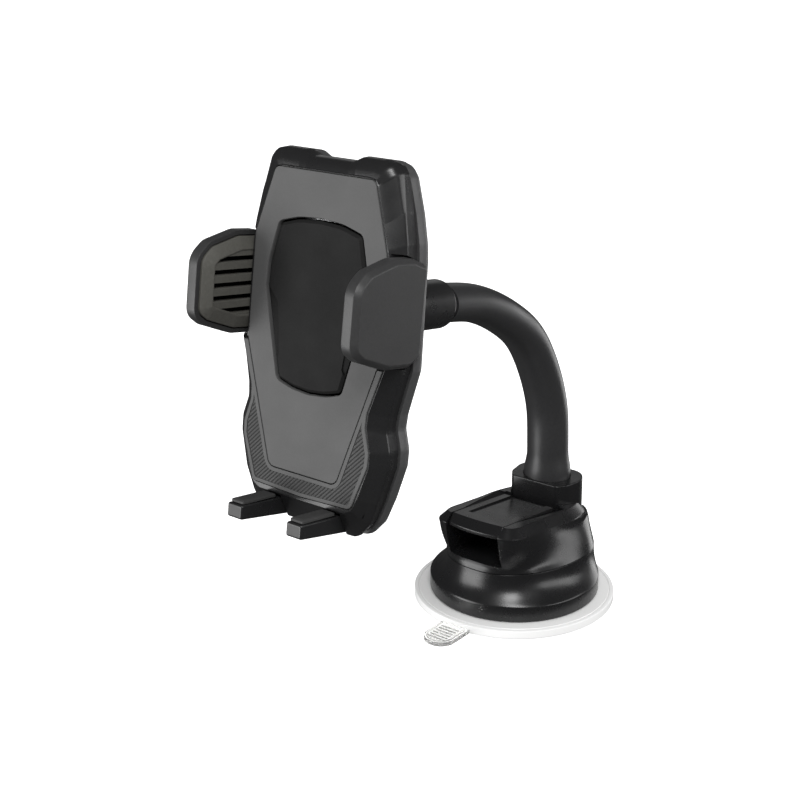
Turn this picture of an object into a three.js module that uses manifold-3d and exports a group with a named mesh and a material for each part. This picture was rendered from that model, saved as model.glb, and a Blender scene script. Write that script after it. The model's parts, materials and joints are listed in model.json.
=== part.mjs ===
// Car phone mount: suction base, arched flexible neck, ball joint and one-touch phone cradle.
// Millimetres, +Z up. The origin is the centre of the gel pad's underside; the cradle faces -Y.
import * as THREE from 'three';
import { mergeVertices } from 'three/addons/utils/BufferGeometryUtils.js';
import Module from 'manifold-3d';

const wasm = await Module();
wasm.setup();

// ---------------------------------------------------------------- driving dimensions
const GAP = 0.3;                  // clearance between pieces that touch on the real object

// base, in the object's own frame
const GEL_RADIUS = 40;
const GEL_TOP = 3.5;
const TAB_WIDTH = 13;
const TAB_END_Y = -55.5;
const TAB_THICKNESS = 1.8;
const BELL_BOTTOM = 3.9;
const RIM_RADIUS = 33.5;
const RIM_TOP = 10.2;             // where the bell's rim ends and its hollow flank begins
const BELL_TOP = 21.1;
const BELL_WALL = 2.6;
const HOUSING_BOTTOM = 21.4;
const HOUSING_FLOOR = 24.5;
const TOP_HEIGHT = 37.97;         // height of the sloping top plane at y = 0
const TOP_SLOPE = -0.1206;        // the top rises towards the front
const CHAMFER_DROP = 3.4;         // height of the sloping band round the housing's top
const WELL_HALF = 12.1;           // half-width of the lever's well and of the finger opening
const WELL_REAR = 12;
const LEVER_HALF = 11.75;
const LEVER_PIVOT = { y: 3.5, z: 31.5 };
const LEVER_RECESS = { half: 8.3, front: -20, depth: 0.8 };
const LEVER_TRAVEL = THREE.MathUtils.degToRad(80);
const STUD_TRAVEL = 2.4;
const STUD_PIN = { y: 0, z: 28.8 };
const STUD_PIN_RADIUS = 1.2;
const PIN_RADIUS = 1.5;
const COLLAR_FRONT = 13.2;
const COLLAR_TOP = 44.2;
const COLLAR_BOTTOM = 29.5;
const SCREW_SPOTS = [[-16, -11], [16, -11], [-19, 13], [19, 13]];

// neck: centre line in the plane x = 0, as [y, z]
const NECK_Y = 22.8;
const NECK_POINTS = [
  [NECK_Y, 36], [NECK_Y, 56], [21.2, 74], [14.5, 91.5], [3.8, 107.3],
  [-12, 119.2], [-30, 128], [-46.05, 132.07], [-62.4, 134.65],
];
const SLEEVE_END_Y = -51;
const NECK_HALF_WIDTH = 8.5;      // along X
const NECK_HALF_ROOT = 8.3;       // across the curve, at the collar
const NECK_HALF_TIP = 7.0;        // across the curve, beside the cradle
const BEND_AT = 0.42;             // where along the curve the neck's bend is placed
const BEND_GAP = 0.015;           // half of the opening there, as a share of the curve
const CORE_RADIUS = 2.6;

// cradle, in its own frame: x right, y to the rear, z up its face, origin on the ball's axis
const TILT = THREE.MathUtils.degToRad(8.96);
const CRADLE_AT = new THREE.Vector3(0, -116.77, 143.23);
const PLATE_THICKNESS = 1.6;
const FLOOR_FRONT = PLATE_THICKNESS + GAP;
const FLOOR_REAR = 3.4;
const FRONT_SHELL_REAR = 7.5;
const BAND_FRONT = 7.8;
const BAND_REAR = 10.2;
const REAR_SHELL_FRONT = 10.5;
const BACK_WALL = 15.5;
const BACK = 17.5;
const WALL = 2;
const NOTCH_X = 27.9;             // side pockets that the closed arms nest in
const NOTCH_REAR = 12;
const PINION_Z = 7.5;
const PITCH_RADIUS = 6;
const PINION_TEETH = 12;
const RACK_FRONT = 4.9;
const RACK_REAR = 7.3;
const BALL_Y = 27;
const BALL_RADIUS = 7.4;
const LINER_RADIUS = 8.5;
const LINER_REACH = 1.5;          // how far the split cup goes past the ball's middle
const SEAT_RADIUS = 10.6;
const STEM_RADIUS = 3.2;
const STEM_FRONT = 22;
const FERRULE_FRONT = 40.5;
const FERRULE_REAR = 66.1;
const FOOT_INNER = 9.5;
const FOOT_OUTER = 15.9;
const FOOT_TIP = -16.7;
const LATCH_PIVOT = { x: 10, z: 23.6 };
const SHELL_SCREWS = [[-21, 36], [21, 36], [-21.5, -45], [21.5, -45]];

// ---------------------------------------------------------------- shape helpers
const clean = (geometry) => {
  const bare = geometry.clone();
  bare.deleteAttribute('normal');
  bare.deleteAttribute('uv');
  return mergeVertices(bare, 1e-4);
};

const toSolid = (geometry) => {
  const merged = clean(geometry);
  return new wasm.Manifold(new wasm.Mesh({
    numProp: 3,
    vertProperties: new Float32Array(merged.attributes.position.array),
    triVerts: new Uint32Array(merged.index.array),
  }));
};

const toGeometry = (solid) => {
  const mesh = solid.getMesh();
  const geometry = new THREE.BufferGeometry();
  geometry.setAttribute('position', new THREE.BufferAttribute(new Float32Array(mesh.vertProperties), 3));
  geometry.setIndex(new THREE.BufferAttribute(new Uint32Array(mesh.triVerts), 1));
  geometry.computeVertexNormals();
  return geometry;
};

const box = (x0, x1, y0, y1, z0, z1) => {
  const geometry = new THREE.BoxGeometry(x1 - x0, y1 - y0, z1 - z0);
  geometry.translate((x0 + x1) / 2, (y0 + y1) / 2, (z0 + z1) / 2);
  return toSolid(geometry);
};

// a cylinder or cone along +Z, from z0 to z1
const rodZ = (radius, z0, z1, x = 0, y = 0, sides = 24, topRadius = radius) => {
  const geometry = new THREE.CylinderGeometry(topRadius, radius, z1 - z0, sides);
  geometry.rotateX(Math.PI / 2);
  geometry.translate(x, y, (z0 + z1) / 2);
  return toSolid(geometry);
};

const rodX = (radius, x0, x1, y, z, sides = 16) => {
  const geometry = new THREE.CylinderGeometry(radius, radius, x1 - x0, sides);
  geometry.rotateZ(Math.PI / 2);
  geometry.translate((x0 + x1) / 2, y, z);
  return toSolid(geometry);
};

const rodY = (radius, y0, y1, x = 0, z = 0, sides = 24, rearRadius = radius) => {
  const geometry = new THREE.CylinderGeometry(rearRadius, radius, y1 - y0, sides);
  geometry.translate(x, (y0 + y1) / 2, z);
  return toSolid(geometry);
};

const sphere = (radius, y, columns = 20, rows = 12) => {
  const geometry = new THREE.SphereGeometry(radius, columns, rows);
  geometry.translate(0, y, 0);
  return toSolid(geometry);
};

// a turned piece about the Y axis; profile holds [radius, y] from axis to axis
const turnedY = (profile, sides = 24) => {
  const points = profile.map(([radius, y]) => new THREE.Vector2(radius, y));
  return toSolid(new THREE.LatheGeometry(points, sides));
};

const turnedZ = (profile, sides = 48) => {
  const points = profile.map(([radius, z]) => new THREE.Vector2(radius, z));
  const geometry = new THREE.LatheGeometry(points, sides);
  geometry.rotateX(Math.PI / 2);
  return toSolid(geometry);
};

// an outline whose corners [x, z, radius] are rounded with a few steps each
const rounded = (corners, steps = 4) => {
  const points = [];
  corners.forEach(([x, z, radius = 0], index) => {
    const here = new THREE.Vector2(x, z);
    if (radius === 0) {
      points.push(here);
      return;
    }
    const [px, pz] = corners[(index + corners.length - 1) % corners.length];
    const [nx, nz] = corners[(index + 1) % corners.length];
    const back = new THREE.Vector2(px, pz).sub(here);
    const ahead = new THREE.Vector2(nx, nz).sub(here);
    const reach = Math.min(radius, back.length() * 0.49, ahead.length() * 0.49);
    const start = here.clone().add(back.setLength(reach));
    const end = here.clone().add(ahead.setLength(reach));
    const curve = new THREE.QuadraticBezierCurve(start, here, end);
    points.push(...curve.getPoints(steps));
  });
  return points;
};

// closes a right half, listed from the top centre to the bottom centre, with its mirror image
const mirrored = (half) => {
  const left = half.filter(([x]) => x > 0).map(([x, z, radius]) => [-x, z, radius]);
  return [...half, ...left.reverse()];
};

const flatPoints = (pairs) => pairs.map(([u, v]) => new THREE.Vector2(u, v));

// moves every edge of an outline inwards by a distance
const inset = (points, distance) => {
  const turn = THREE.ShapeUtils.isClockWise(points) ? 1 : -1;
  return points.map((point, index) => {
    const before = points[(index + points.length - 1) % points.length];
    const after = points[(index + 1) % points.length];
    const edgeIn = point.clone().sub(before).normalize();
    const edgeOut = after.clone().sub(point).normalize();
    const normalIn = new THREE.Vector2(edgeIn.y, -edgeIn.x);
    const normalOut = new THREE.Vector2(edgeOut.y, -edgeOut.x);
    const bisector = normalIn.add(normalOut).normalize();
    const reach = distance / Math.max(0.5, bisector.dot(normalOut));
    return point.clone().addScaledVector(bisector, turn * reach);
  });
};

// the same for corners that still have their radii
const insetCorners = (corners, distance) => {
  const moved = inset(flatPoints(corners), distance);
  return moved.map(({ x, y }, index) => {
    const radius = corners[index][2] ?? 0;
    return [x, y, radius === 0 ? 0 : Math.max(0.6, radius - distance * 0.5)];
  });
};

const extruded = (points, depth) => new THREE.ExtrudeGeometry(
  new THREE.Shape(points), { depth, bevelEnabled: false });

// a plate whose outline lies in x and z, from y0 to y1
const plateY = (points, y0, y1) => {
  const geometry = extruded(points, y1 - y0);
  geometry.rotateX(Math.PI / 2);
  geometry.translate(0, y1, 0);
  return toSolid(geometry);
};

// a plate whose outline holds [y, z] points, from x0 to x1
const plateX = (points, x0, x1) => {
  const geometry = extruded(points, x1 - x0);
  const axes = new THREE.Matrix4().makeBasis(
    new THREE.Vector3(0, 1, 0), new THREE.Vector3(0, 0, 1), new THREE.Vector3(1, 0, 0));
  geometry.applyMatrix4(axes);
  geometry.translate(x0, 0, 0);
  return toSolid(geometry);
};

const plateZ = (points, z0, z1) => {
  const geometry = extruded(points, z1 - z0);
  geometry.translate(0, 0, z0);
  return toSolid(geometry);
};

// skins a closed body over rings that hold equal numbers of points; flat ends close it
const loft = (rings) => {
  const count = rings[0].length;
  const positions = rings.flat().flatMap((point) => [point.x, point.y, point.z]);
  const index = [];
  for (let ring = 0; ring < rings.length - 1; ring += 1) {
    for (let step = 0; step < count; step += 1) {
      const next = (step + 1) % count;
      const a = ring * count + step;
      const b = ring * count + next;
      index.push(a, b, b + count, a, b + count, a + count);
    }
  }
  const addCap = (ring, offset, flip) => {
    const origin = ring[0];
    const normal = new THREE.Vector3();
    for (let step = 1; step < count - 1; step += 1) {
      const one = ring[step].clone().sub(origin);
      const two = ring[step + 1].clone().sub(origin);
      normal.add(one.cross(two));
    }
    normal.normalize();
    const across = ring[1].clone().sub(origin).normalize();
    const up = normal.clone().cross(across);
    const flat = ring.map((point) => {
      const away = point.clone().sub(origin);
      return new THREE.Vector2(away.dot(across), away.dot(up));
    });
    THREE.ShapeUtils.triangulateShape(flat, []).forEach(([a, b, c]) => {
      const face = [a, b, c].map((corner) => offset + corner);
      index.push(...(flip ? face.reverse() : face));
    });
  };
  addCap(rings[0], 0, true);
  addCap(rings[rings.length - 1], (rings.length - 1) * count, false);
  const geometry = new THREE.BufferGeometry();
  geometry.setAttribute('position', new THREE.Float32BufferAttribute(positions, 3));
  geometry.setIndex(index);
  const solid = toSolid(geometry);
  if (solid.volume() > 0) {
    return solid;
  }
  for (let face = 0; face < index.length; face += 3) {
    [index[face + 1], index[face + 2]] = [index[face + 2], index[face + 1]];
  }
  geometry.setIndex(index);
  return toSolid(geometry);
};

const mirrorX = (solid) => solid.scale([-1, 1, 1]);
const join = (solids) => solids.reduce((whole, solid) => whole.add(solid));
const cut = (solid, tools) => tools.reduce((rest, tool) => rest.subtract(tool), solid);

// ---------------------------------------------------------------- finishes
const FINISHES = {
  gel: { color: 0xebebeb, roughness: 0.35 },
  clear: { color: 0xe4e4e2, roughness: 0.2, transparent: true, opacity: 0.5 },
  satinBlack: { color: 0x222222, roughness: 0.38 },
  gloss: { color: 0x1c1c1c, roughness: 0.3 },
  neck: { color: 0x2f2f2f, roughness: 0.5 },
  shell: { color: 0x2a2a2a, roughness: 0.4 },
  rearShell: { color: 0x4a4a4a, roughness: 0.45 },
  plate: { color: 0x646464, roughness: 0.5 },
  panel: { color: 0x2e2e2e, roughness: 0.5 },
  pad: { color: 0x55564e, roughness: 0.7 },
  rubber: { color: 0x303030, roughness: 0.8 },
  acetal: { color: 0xd8d6ce, roughness: 0.45 },
  steel: { color: 0xb4b6ba, roughness: 0.3, metalness: 1 },
};

const mount = new THREE.Group();
const cradle = new THREE.Group();
cradle.position.copy(CRADLE_AT);
cradle.rotation.x = -TILT;
mount.add(cradle);

const place = (group, name, solid, finish) => {
  const mesh = new THREE.Mesh(toGeometry(solid), new THREE.MeshStandardMaterial(FINISHES[finish]));
  mesh.name = name;
  group.add(mesh);
};

// ---------------------------------------------------------------- suction base
const RING_STEPS = 3;

// a closed plan ring through right-half control points, front centre first, at height z(y)
const planRing = (half, height) => {
  const left = half.slice(1, -1).map(([x, y]) => [-x, y]).reverse();
  const controls = [...half, ...left].map(([x, y]) => new THREE.Vector3(x, y, 0));
  const curve = new THREE.CatmullRomCurve3(controls, true, 'centripetal');
  const total = controls.length * RING_STEPS;
  return Array.from({ length: total }, (_, step) => {
    const point = curve.getPoint(step / total);
    point.z = height(point.y);
    return point;
  });
};

const level = (z) => () => z;
const topPlane = (drop) => (y) => TOP_HEIGHT + TOP_SLOPE * y - drop;

// the housing's foot; the bell's flank runs from this outline out to the round rim
const FOOT_HALF = [
  [0, -28.6], [8, -27.6], [14.6, -24.2], [18.6, -20.2], [23.2, -13.5], [27.1, -2], [27.1, 15], [17.2, 28.3],
  [0, 33],
];

// a ring of the flank: a share of 0 gives the housing's foot, 1 gives a circle of the rim's radius
const flankRing = (share, z, thinner = 0) => planRing(FOOT_HALF, level(z)).map((point) => {
  const reach = Math.hypot(point.x, point.y);
  const wanted = reach + (RIM_RADIUS - reach) * share - thinner;
  return new THREE.Vector3(point.x * wanted / reach, point.y * wanted / reach, z);
});

const makeSuctionBell = () => {
  const outer = loft([
    flankRing(1, BELL_BOTTOM), flankRing(1, RIM_TOP), flankRing(0.94, 10.7), flankRing(0.69, 12),
    flankRing(0.38, 14), flankRing(0.17, 16), flankRing(0.05, 18), flankRing(0, BELL_TOP),
  ]);
  const hollow = loft([
    flankRing(1, BELL_BOTTOM - 1, 2.2), flankRing(1, 9.4, BELL_WALL), flankRing(0.65, 12, BELL_WALL),
    flankRing(0.35, 14, BELL_WALL), flankRing(0.1, 16.8, BELL_WALL),
  ]);
  const holes = SCREW_SPOTS.map(([x, y]) => rodZ(1.6, 10, 25, x, y, 12));
  return cut(outer, [hollow, rodZ(11, 10, 25, 0, 0, 20), ...holes]);
};

const makeHousing = () => {
  const body = loft([
    planRing(FOOT_HALF, level(HOUSING_BOTTOM)),
    planRing([[0, -28.4], [8.8, -28], [14.2, -26.4], [17.2, -22.2], [20.6, -13.6], [23.8, -2], [25.2, 14.4],
      [16.3, 27.8], [0, 33]], level(27)),
    planRing([[0, -29.4], [9.2, -29.2], [15.4, -27.4], [18.1, -23.6], [20.2, -13.8], [21.6, -2], [22.6, 14],
      [15.9, 27.6], [0, 32.9]], level(31.6)),
    planRing([[0, -30.2], [9.6, -30.1], [15.4, -29], [18.6, -24.8], [19.6, -14], [19.9, -2], [20, 14],
      [15.2, 27.6], [0, 32.6]], topPlane(CHAMFER_DROP)),
    planRing([[0, -26.2], [9, -26.2], [13.8, -25.6], [15.8, -22.6], [16.1, -13], [16.1, -2], [16.2, 13],
      [12.6, 26.6], [0, 31.8]], topPlane(0)),
  ]);
  const well = box(-WELL_HALF, WELL_HALF, -40, WELL_REAR, HOUSING_FLOOR, 60);
  const deck = box(-13.2, 13.2, WELL_REAR - 1, COLLAR_FRONT, 34.6, 60);
  const collarPocket = plateZ(inset(collarOutline(), -GAP), COLLAR_BOTTOM - GAP, 60);
  const studBore = rodZ(3.4, 15, 30);
  const pinBore = rodX(PIN_RADIUS + GAP, -15.2, 15.2, LEVER_PIVOT.y, LEVER_PIVOT.z, 16);
  const pocket = box(15.6, 19, -5, 7, 15, 29.5);
  const screwBores = SCREW_SPOTS.map(([x, y]) => rodZ(1.6, 15, 26.5, x, y, 12));
  return cut(body, [well, deck, collarPocket, studBore, pinBore, pocket, mirrorX(pocket), ...screwBores]);
};

// the socket of the neck: flat in front, round behind
const collarOutline = () => {
  const corners = [
    [-10.6, COLLAR_FRONT, 2.5], [10.6, COLLAR_FRONT, 2.5], [13.6, 17.6, 5], [14.9, 26, 7],
    [10.5, 32.4, 7], [-10.5, 32.4, 7], [-14.9, 26, 7], [-13.6, 17.6, 5],
  ];
  return rounded(corners, 3);
};

const makeCollar = () => {
  const shape = plateZ(collarOutline(), COLLAR_BOTTOM, COLLAR_TOP - 0.6);
  const lip = plateZ(inset(collarOutline(), 0.5), COLLAR_TOP - 0.7, COLLAR_TOP);
  const neckBore = rodZ(9.2, 35.6, 60, 0, NECK_Y, 32);
  const plugBore = rodZ(6.8, 20, 60, 0, NECK_Y, 24);
  return cut(join([shape, lip]), [neckBore, plugBore]);
};

// the lever carries two cam cheeks; each has the slot that the stud's cross pin runs in
const makeLever = () => {
  const top = topPlane(0.1);
  const rear = 9.7;
  const profile = flatPoints([
    [rear, top(rear)], [-26.3, top(-26.3)], [-29.4, 38.2], [-29.3, 36.6], [-26, 37.2], [-10, 35.8],
    [-2, 34.4], [rear, 33.2],
  ]);
  const plate = plateX(profile, -LEVER_HALF, LEVER_HALF);
  const { half, front, depth } = LEVER_RECESS;
  const beyond = rear + 1;
  const recess = plateX(flatPoints([
    [front, top(front) - depth], [beyond, top(beyond) - depth], [beyond, 60], [front, 60],
  ]), -half, half);
  const cheek = flatPoints([[9.4, 34.5], [-8, 35.6], [-8, 31], [-5, 26.4], [1, 25.4], [7, 27.6], [9.4, 31]]);
  const cheeks = [[-7.6, -4.2], [4.2, 7.6]].map(([x0, x1]) => plateX(cheek, x0, x1));
  const slotSteps = 8;
  const slot = Array.from({ length: slotSteps + 1 }, (_, step) => {
    const turned = LEVER_TRAVEL * step / slotSteps;
    const y = STUD_PIN.y - LEVER_PIVOT.y;
    const z = STUD_PIN.z - STUD_TRAVEL * step / slotSteps - LEVER_PIVOT.z;
    const localY = y * Math.cos(turned) - z * Math.sin(turned);
    const localZ = y * Math.sin(turned) + z * Math.cos(turned);
    return rodX(STUD_PIN_RADIUS + GAP, -9, 9, LEVER_PIVOT.y + localY, LEVER_PIVOT.z + localZ, 12);
  });
  const pinBore = rodX(PIN_RADIUS + GAP, -20, 20, LEVER_PIVOT.y, LEVER_PIVOT.z, 16);
  return cut(join([plate, ...cheeks]), [recess, ...slot, pinBore]);
};

const makeStud = () => {
  const plate = rodZ(9, 6.9, 8.3);
  const rod = rodZ(3, 8.2, 27.2);
  const eye = box(-2.6, 2.6, -2.6, 2.6, 27.1, 31.2);
  const bore = rodX(STUD_PIN_RADIUS + 0.05, -9, 9, STUD_PIN.y, STUD_PIN.z, 12);
  return cut(join([plate, rod, eye]), [bore, box(-5, 5, 2, 8, 24, 40)]);
};

const makeStudSpring = () => {
  const turns = 4.5;
  const bottom = 9.1;
  const top = HOUSING_BOTTOM - 0.9;
  const stepsPerTurn = 10;
  const sides = 5;
  const total = Math.round(turns * stepsPerTurn);
  const rings = Array.from({ length: total + 1 }, (_, step) => {
    const angle = step / stepsPerTurn * 2 * Math.PI;
    const height = bottom + (top - bottom) * step / total;
    return Array.from({ length: sides }, (__, side) => {
      const around = side / sides * 2 * Math.PI;
      const radius = 5 + 0.5 * Math.cos(around);
      return new THREE.Vector3(
        radius * Math.cos(angle), radius * Math.sin(angle), height + 0.5 * Math.sin(around));
    });
  });
  return loft(rings);
};

const makePullTab = () => {
  const half = TAB_WIDTH / 2;
  const corners = [[-half, -38], [half, -38], [half, TAB_END_Y, 5], [-half, TAB_END_Y, 5]];
  const plate = plateZ(rounded(corners, 5), 0, TAB_THICKNESS);
  return cut(plate, [rodZ(GEL_RADIUS + GAP, -1, 5, 0, 0, 96)]);
};

const makeScrewZ = (x, y) => join([
  rodZ(2.6, 14.6, 16.5, x, y, 12),
  rodZ(1.3, 16.4, 25.5, x, y, 12),
]);

place(mount, 'gel_pad', turnedZ([
  [0, 0], [39.6, 0], [GEL_RADIUS, 0.4], [GEL_RADIUS, 3.1], [39.6, GEL_TOP], [0, GEL_TOP],
]), 'gel');
place(mount, 'pull_tab', makePullTab(), 'clear');
place(mount, 'membrane', cut(rodZ(30.6, 3.8, 5.2, 0, 0, 48), [rodZ(10, 0, 9)]), 'rubber');
place(mount, 'suction_bell', makeSuctionBell(), 'gloss');
place(mount, 'base_housing', makeHousing(), 'satinBlack');
place(mount, 'neck_collar', makeCollar(), 'satinBlack');
place(mount, 'lock_lever', makeLever(), 'satinBlack');
place(mount, 'lever_pin', rodX(PIN_RADIUS, -14.8, 14.8, LEVER_PIVOT.y, LEVER_PIVOT.z, 16), 'steel');
place(mount, 'pull_stud', makeStud(), 'acetal');
place(mount, 'stud_pin', rodX(STUD_PIN_RADIUS - 0.25, -7.9, 7.9, STUD_PIN.y, STUD_PIN.z, 12), 'steel');
place(mount, 'stud_spring', makeStudSpring(), 'steel');
SCREW_SPOTS.forEach(([x, y], index) => {
  place(mount, `base_screw_${index + 1}`, makeScrewZ(x, y), 'steel');
});

// ---------------------------------------------------------------- neck
const neckCurve = new THREE.CatmullRomCurve3(
  NECK_POINTS.map(([y, z]) => new THREE.Vector3(0, y, z)), false, 'centripetal');
const SLEEVE_SIDES = 16;
const CORE_SIDES = 8;

// an oval section of the neck at a share of its length
const neckSection = (share, halfWidth, halfDepth, sides) => {
  const centre = neckCurve.getPointAt(share);
  const along = neckCurve.getTangentAt(share);
  const across = new THREE.Vector3(1, 0, 0);
  const out = along.clone().cross(across);
  return Array.from({ length: sides }, (_, side) => {
    const angle = side / sides * 2 * Math.PI;
    return centre.clone()
      .addScaledVector(across, halfWidth * Math.cos(angle))
      .addScaledVector(out, halfDepth * Math.sin(angle));
  });
};

const neckTube = (from, to, steps, width, depth, sides) => loft(
  Array.from({ length: steps + 1 }, (_, step) => {
    const share = from + (to - from) * step / steps;
    return neckSection(share, width, depth(share), sides);
  }));

const sleeveDepth = (share) => NECK_HALF_ROOT + (NECK_HALF_TIP - NECK_HALF_ROOT) * Math.min(1, share * 1.3);
const sleeveTube = (from, to, steps) => neckTube(from, to, steps, NECK_HALF_WIDTH, sleeveDepth, SLEEVE_SIDES);
const coreTube = (from, to, steps, radius) => neckTube(from, to, steps, radius, () => radius, CORE_SIDES);

// the share of the curve at which it reaches a given y on its way to the cradle
const shareAtY = (y) => {
  let low = 0.5;
  let high = 1;
  for (let pass = 0; pass < 30; pass += 1) {
    const middle = (low + high) / 2;
    if (neckCurve.getPointAt(middle).y > y) {
      low = middle;
    } else {
      high = middle;
    }
  }
  return low;
};

const coreBore = CORE_RADIUS + 0.4;
const rootBore = rodZ(coreBore, 34, 37, 0, NECK_Y, CORE_SIDES);
const lowerSleeve = sleeveTube(0, BEND_AT - BEND_GAP, 8);
const upperSleeve = sleeveTube(BEND_AT + BEND_GAP, shareAtY(SLEEVE_END_Y), 9);
const lowerCore = coreTube(0.002, BEND_AT - BEND_GAP * 0.8, 9, CORE_RADIUS);
const coreRoot = rodZ(CORE_RADIUS, 33.6, 37, 0, NECK_Y, CORE_SIDES);

place(mount, 'neck_root_plug', cut(rodZ(6.5, COLLAR_BOTTOM + GAP, 35.4, 0, NECK_Y, 20),
  [rodZ(CORE_RADIUS + GAP, 33.2, 40, 0, NECK_Y, CORE_SIDES)]), 'acetal');
place(mount, 'neck_core_lower', join([lowerCore, coreRoot]), 'steel');
place(mount, 'neck_sleeve_lower', cut(lowerSleeve, [coreTube(0.002, 0.5, 12, coreBore), rootBore]), 'neck');
place(mount, 'neck_core_upper', coreTube(BEND_AT + BEND_GAP * 0.8, 0.96, 12, CORE_RADIUS), 'steel');
place(mount, 'neck_sleeve_upper', cut(upperSleeve, [coreTube(0.38, 1, 14, coreBore)]), 'neck');

// ---------------------------------------------------------------- ball joint
const makeFerrule = () => {
  const outside = turnedY([
    [0, FERRULE_FRONT], [5.6, FERRULE_FRONT], [7.6, 42.5], [8.4, 45.5], [8.7, 50], [8.7, FERRULE_REAR - 0.6],
    [8.2, FERRULE_REAR], [0, FERRULE_REAR],
  ]);
  return cut(outside, [rodY(STEM_RADIUS + 0.4, 30, 50.5), rodY(3.2, 53.5, 80)]);
};

// the ball is moulded on the stem's front end; a split cup lies between it and the seats
const makeBall = () => cut(sphere(BALL_RADIUS, BALL_Y), [rodY(STEM_RADIUS + GAP, STEM_FRONT - GAP, 40)]);

const makeBallLiner = () => cut(sphere(LINER_RADIUS, BALL_Y), [
  sphere(BALL_RADIUS + GAP, BALL_Y),
  box(-20, 20, BALL_Y + LINER_REACH, 60, -20, 20),
]);

const makeFrontSeat = () => cut(rodY(SEAT_RADIUS, 16.9, BALL_Y - 0.4), [sphere(LINER_RADIUS + GAP, BALL_Y)]);

const makeRearSeat = () => cut(rodY(SEAT_RADIUS, BALL_Y, 32.6), [
  sphere(LINER_RADIUS + GAP, BALL_Y),
  rodY(6.2, 30, 34, 0, 0, 24, 7.8),
]);

const makeClampNut = () => {
  const grips = 12;
  const body = turnedY([
    [0, 18.2], [15.5, 18.2], [15.5, 31.5], [13.4, 34.3], [0, 34.3],
  ], 36);
  const flutes = Array.from({ length: grips }, (_, grip) => {
    const angle = grip / grips * 2 * Math.PI;
    return rodY(1.3, 17, 36, 16.1 * Math.cos(angle), 16.1 * Math.sin(angle), 8);
  });
  return cut(body, [
    rodY(13.5, 17, 27), rodY(10.9, 26, 32.9), rodY(7.8, 30, 36), ...flutes,
  ]);
};

place(cradle, 'neck_ferrule', makeFerrule(), 'neck');
place(cradle, 'ball_stem', rodY(STEM_RADIUS, STEM_FRONT, 50.2), 'steel');
place(cradle, 'ball', makeBall(), 'acetal');
place(cradle, 'ball_liner', makeBallLiner(), 'acetal');
place(cradle, 'front_seat', makeFrontSeat(), 'acetal');
place(cradle, 'rear_seat', makeRearSeat(), 'acetal');
place(cradle, 'clamp_nut', makeClampNut(), 'shell');

// ---------------------------------------------------------------- cradle outlines
// right halves, [x, z, corner radius], top centre first
const FACE_HALF = [
  [0, 45.9], [20.2, 45.9, 3], [27, 24, 4], [27.2, -10.8], [29.4, -10.8], [24.4, -26, 4], [24.2, -30.8, 3],
  [26.5, -38.6, 3], [26.4, -43, 3], [21, -58, 4], [0, -58.8],
];
const PLATE_HALF = [[0, 45.9], [20.2, 45.9, 3], [27, 24, 4], [27.2, -10.5], [14.2, -51.4, 4], [0, -51.4]];
const PANEL_HALF = [
  [0, 30.9], [9, 30.3], [16.6, 28.2, 2.5], [19.9, 15.5, 5], [20.3, 7, 4], [13.1, -21.6, 2.5], [7, -23.4],
  [0, -24],
];
// front edge of the chamfer and outer edge of the casing, point for point
const LIP_HALF = [
  [0, 46.5], [8.5, 46.5], [11.5, 46.5], [17.6, 46.5], [20, 46], [21.3, 44.4], [24.8, 33], [27.4, 25.6],
  [28.3, 21], [30, -11], [25.1, -26], [24.8, -30.6], [27, -38.4], [27, -43], [23.4, -54.2], [21.4, -58.6],
  [18.4, -60.2], [9, -60.2], [0, -60.2],
];
const RIM_HALF = [
  [0, 50.5], [8, 50.5], [11.5, 52.3], [20.5, 52.3], [24.2, 51.4], [26.2, 48.6], [29.4, 37], [31.3, 27.5],
  [32, 22], [33.2, -12], [29.8, -26.6], [29.4, -31.4], [31.4, -38], [31.4, -43.4], [28.2, -55], [25.2, -63],
  [20.5, -68.4], [10, -68.6], [0, -68.6],
];
// the rear shell's top corners are drawn in a little from the rim
const REAR_TOP = [
  [0, 49.7], [9.2, 49.7], [12.6, 51.4], [19.8, 51.4], [23.3, 50.3], [25.5, 47.4], [29.1, 36.6],
];
const REAR_RIM_HALF = [...REAR_TOP, ...RIM_HALF.slice(REAR_TOP.length)];
const CHAMFER_REAR = 4.6;
const BOTTOM_CHAMFER_REAR = 5.6;

const vectors = (half) => flatPoints(mirrored(half));
const ringAt = (points, depth) => points.map(({ x, y }) => new THREE.Vector3(
  x, typeof depth === 'function' ? depth(y) : depth, y));
const lip = vectors(LIP_HALF);
const rim = vectors(RIM_HALF);
const rearRim = vectors(REAR_RIM_HALF);
const cavity = inset(rim, WALL);
const chamferDepth = (z) => (z < -60 ? BOTTOM_CHAMFER_REAR : CHAMFER_REAR);

// ---------------------------------------------------------------- clamping arms
const ARM_HALF_GAP = 28.2;        // inner face of a pad when the arms are closed
const ARM_PLATE_INNER = 30.2;
const SLOT_COUNT = 5;
const SLOT_LOW = -2.5;            // lower edge of the lowest slot in a pad
const SLOT_PITCH = 4.2;
const SLOT_HEIGHT = 1.7;
const SLOT_DEPTH = 1.4;
const ARM_RIM_OUTER = 34;
const ARM_OUTER = 35.5;
const ARM_CORNERS = [
  [-22.6, -3, 6], [-22.6, 16.4, 7], [-17.2, 21, 7], [-5, 24.2, 8], [4, 24, 5], [11.4, 21.6, 2.5],
  [11.4, -7.8, 2.5], [6, -10.2, 5], [-5, -9.8, 8], [-17.5, -6.2, 7],
];
const armOutline = (distance) => rounded(insetCorners(ARM_CORNERS, distance), 3);

// the arms' pockets in the casing, with a wall of its own where it is asked for
const notchTools = (wall) => {
  const shape = armOutline(-0.6 - wall);
  const right = plateX(shape, NOTCH_X - wall, 60).intersect(box(0, 60, -30, NOTCH_REAR + wall, -60, 60));
  return [right, mirrorX(right)];
};

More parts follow.
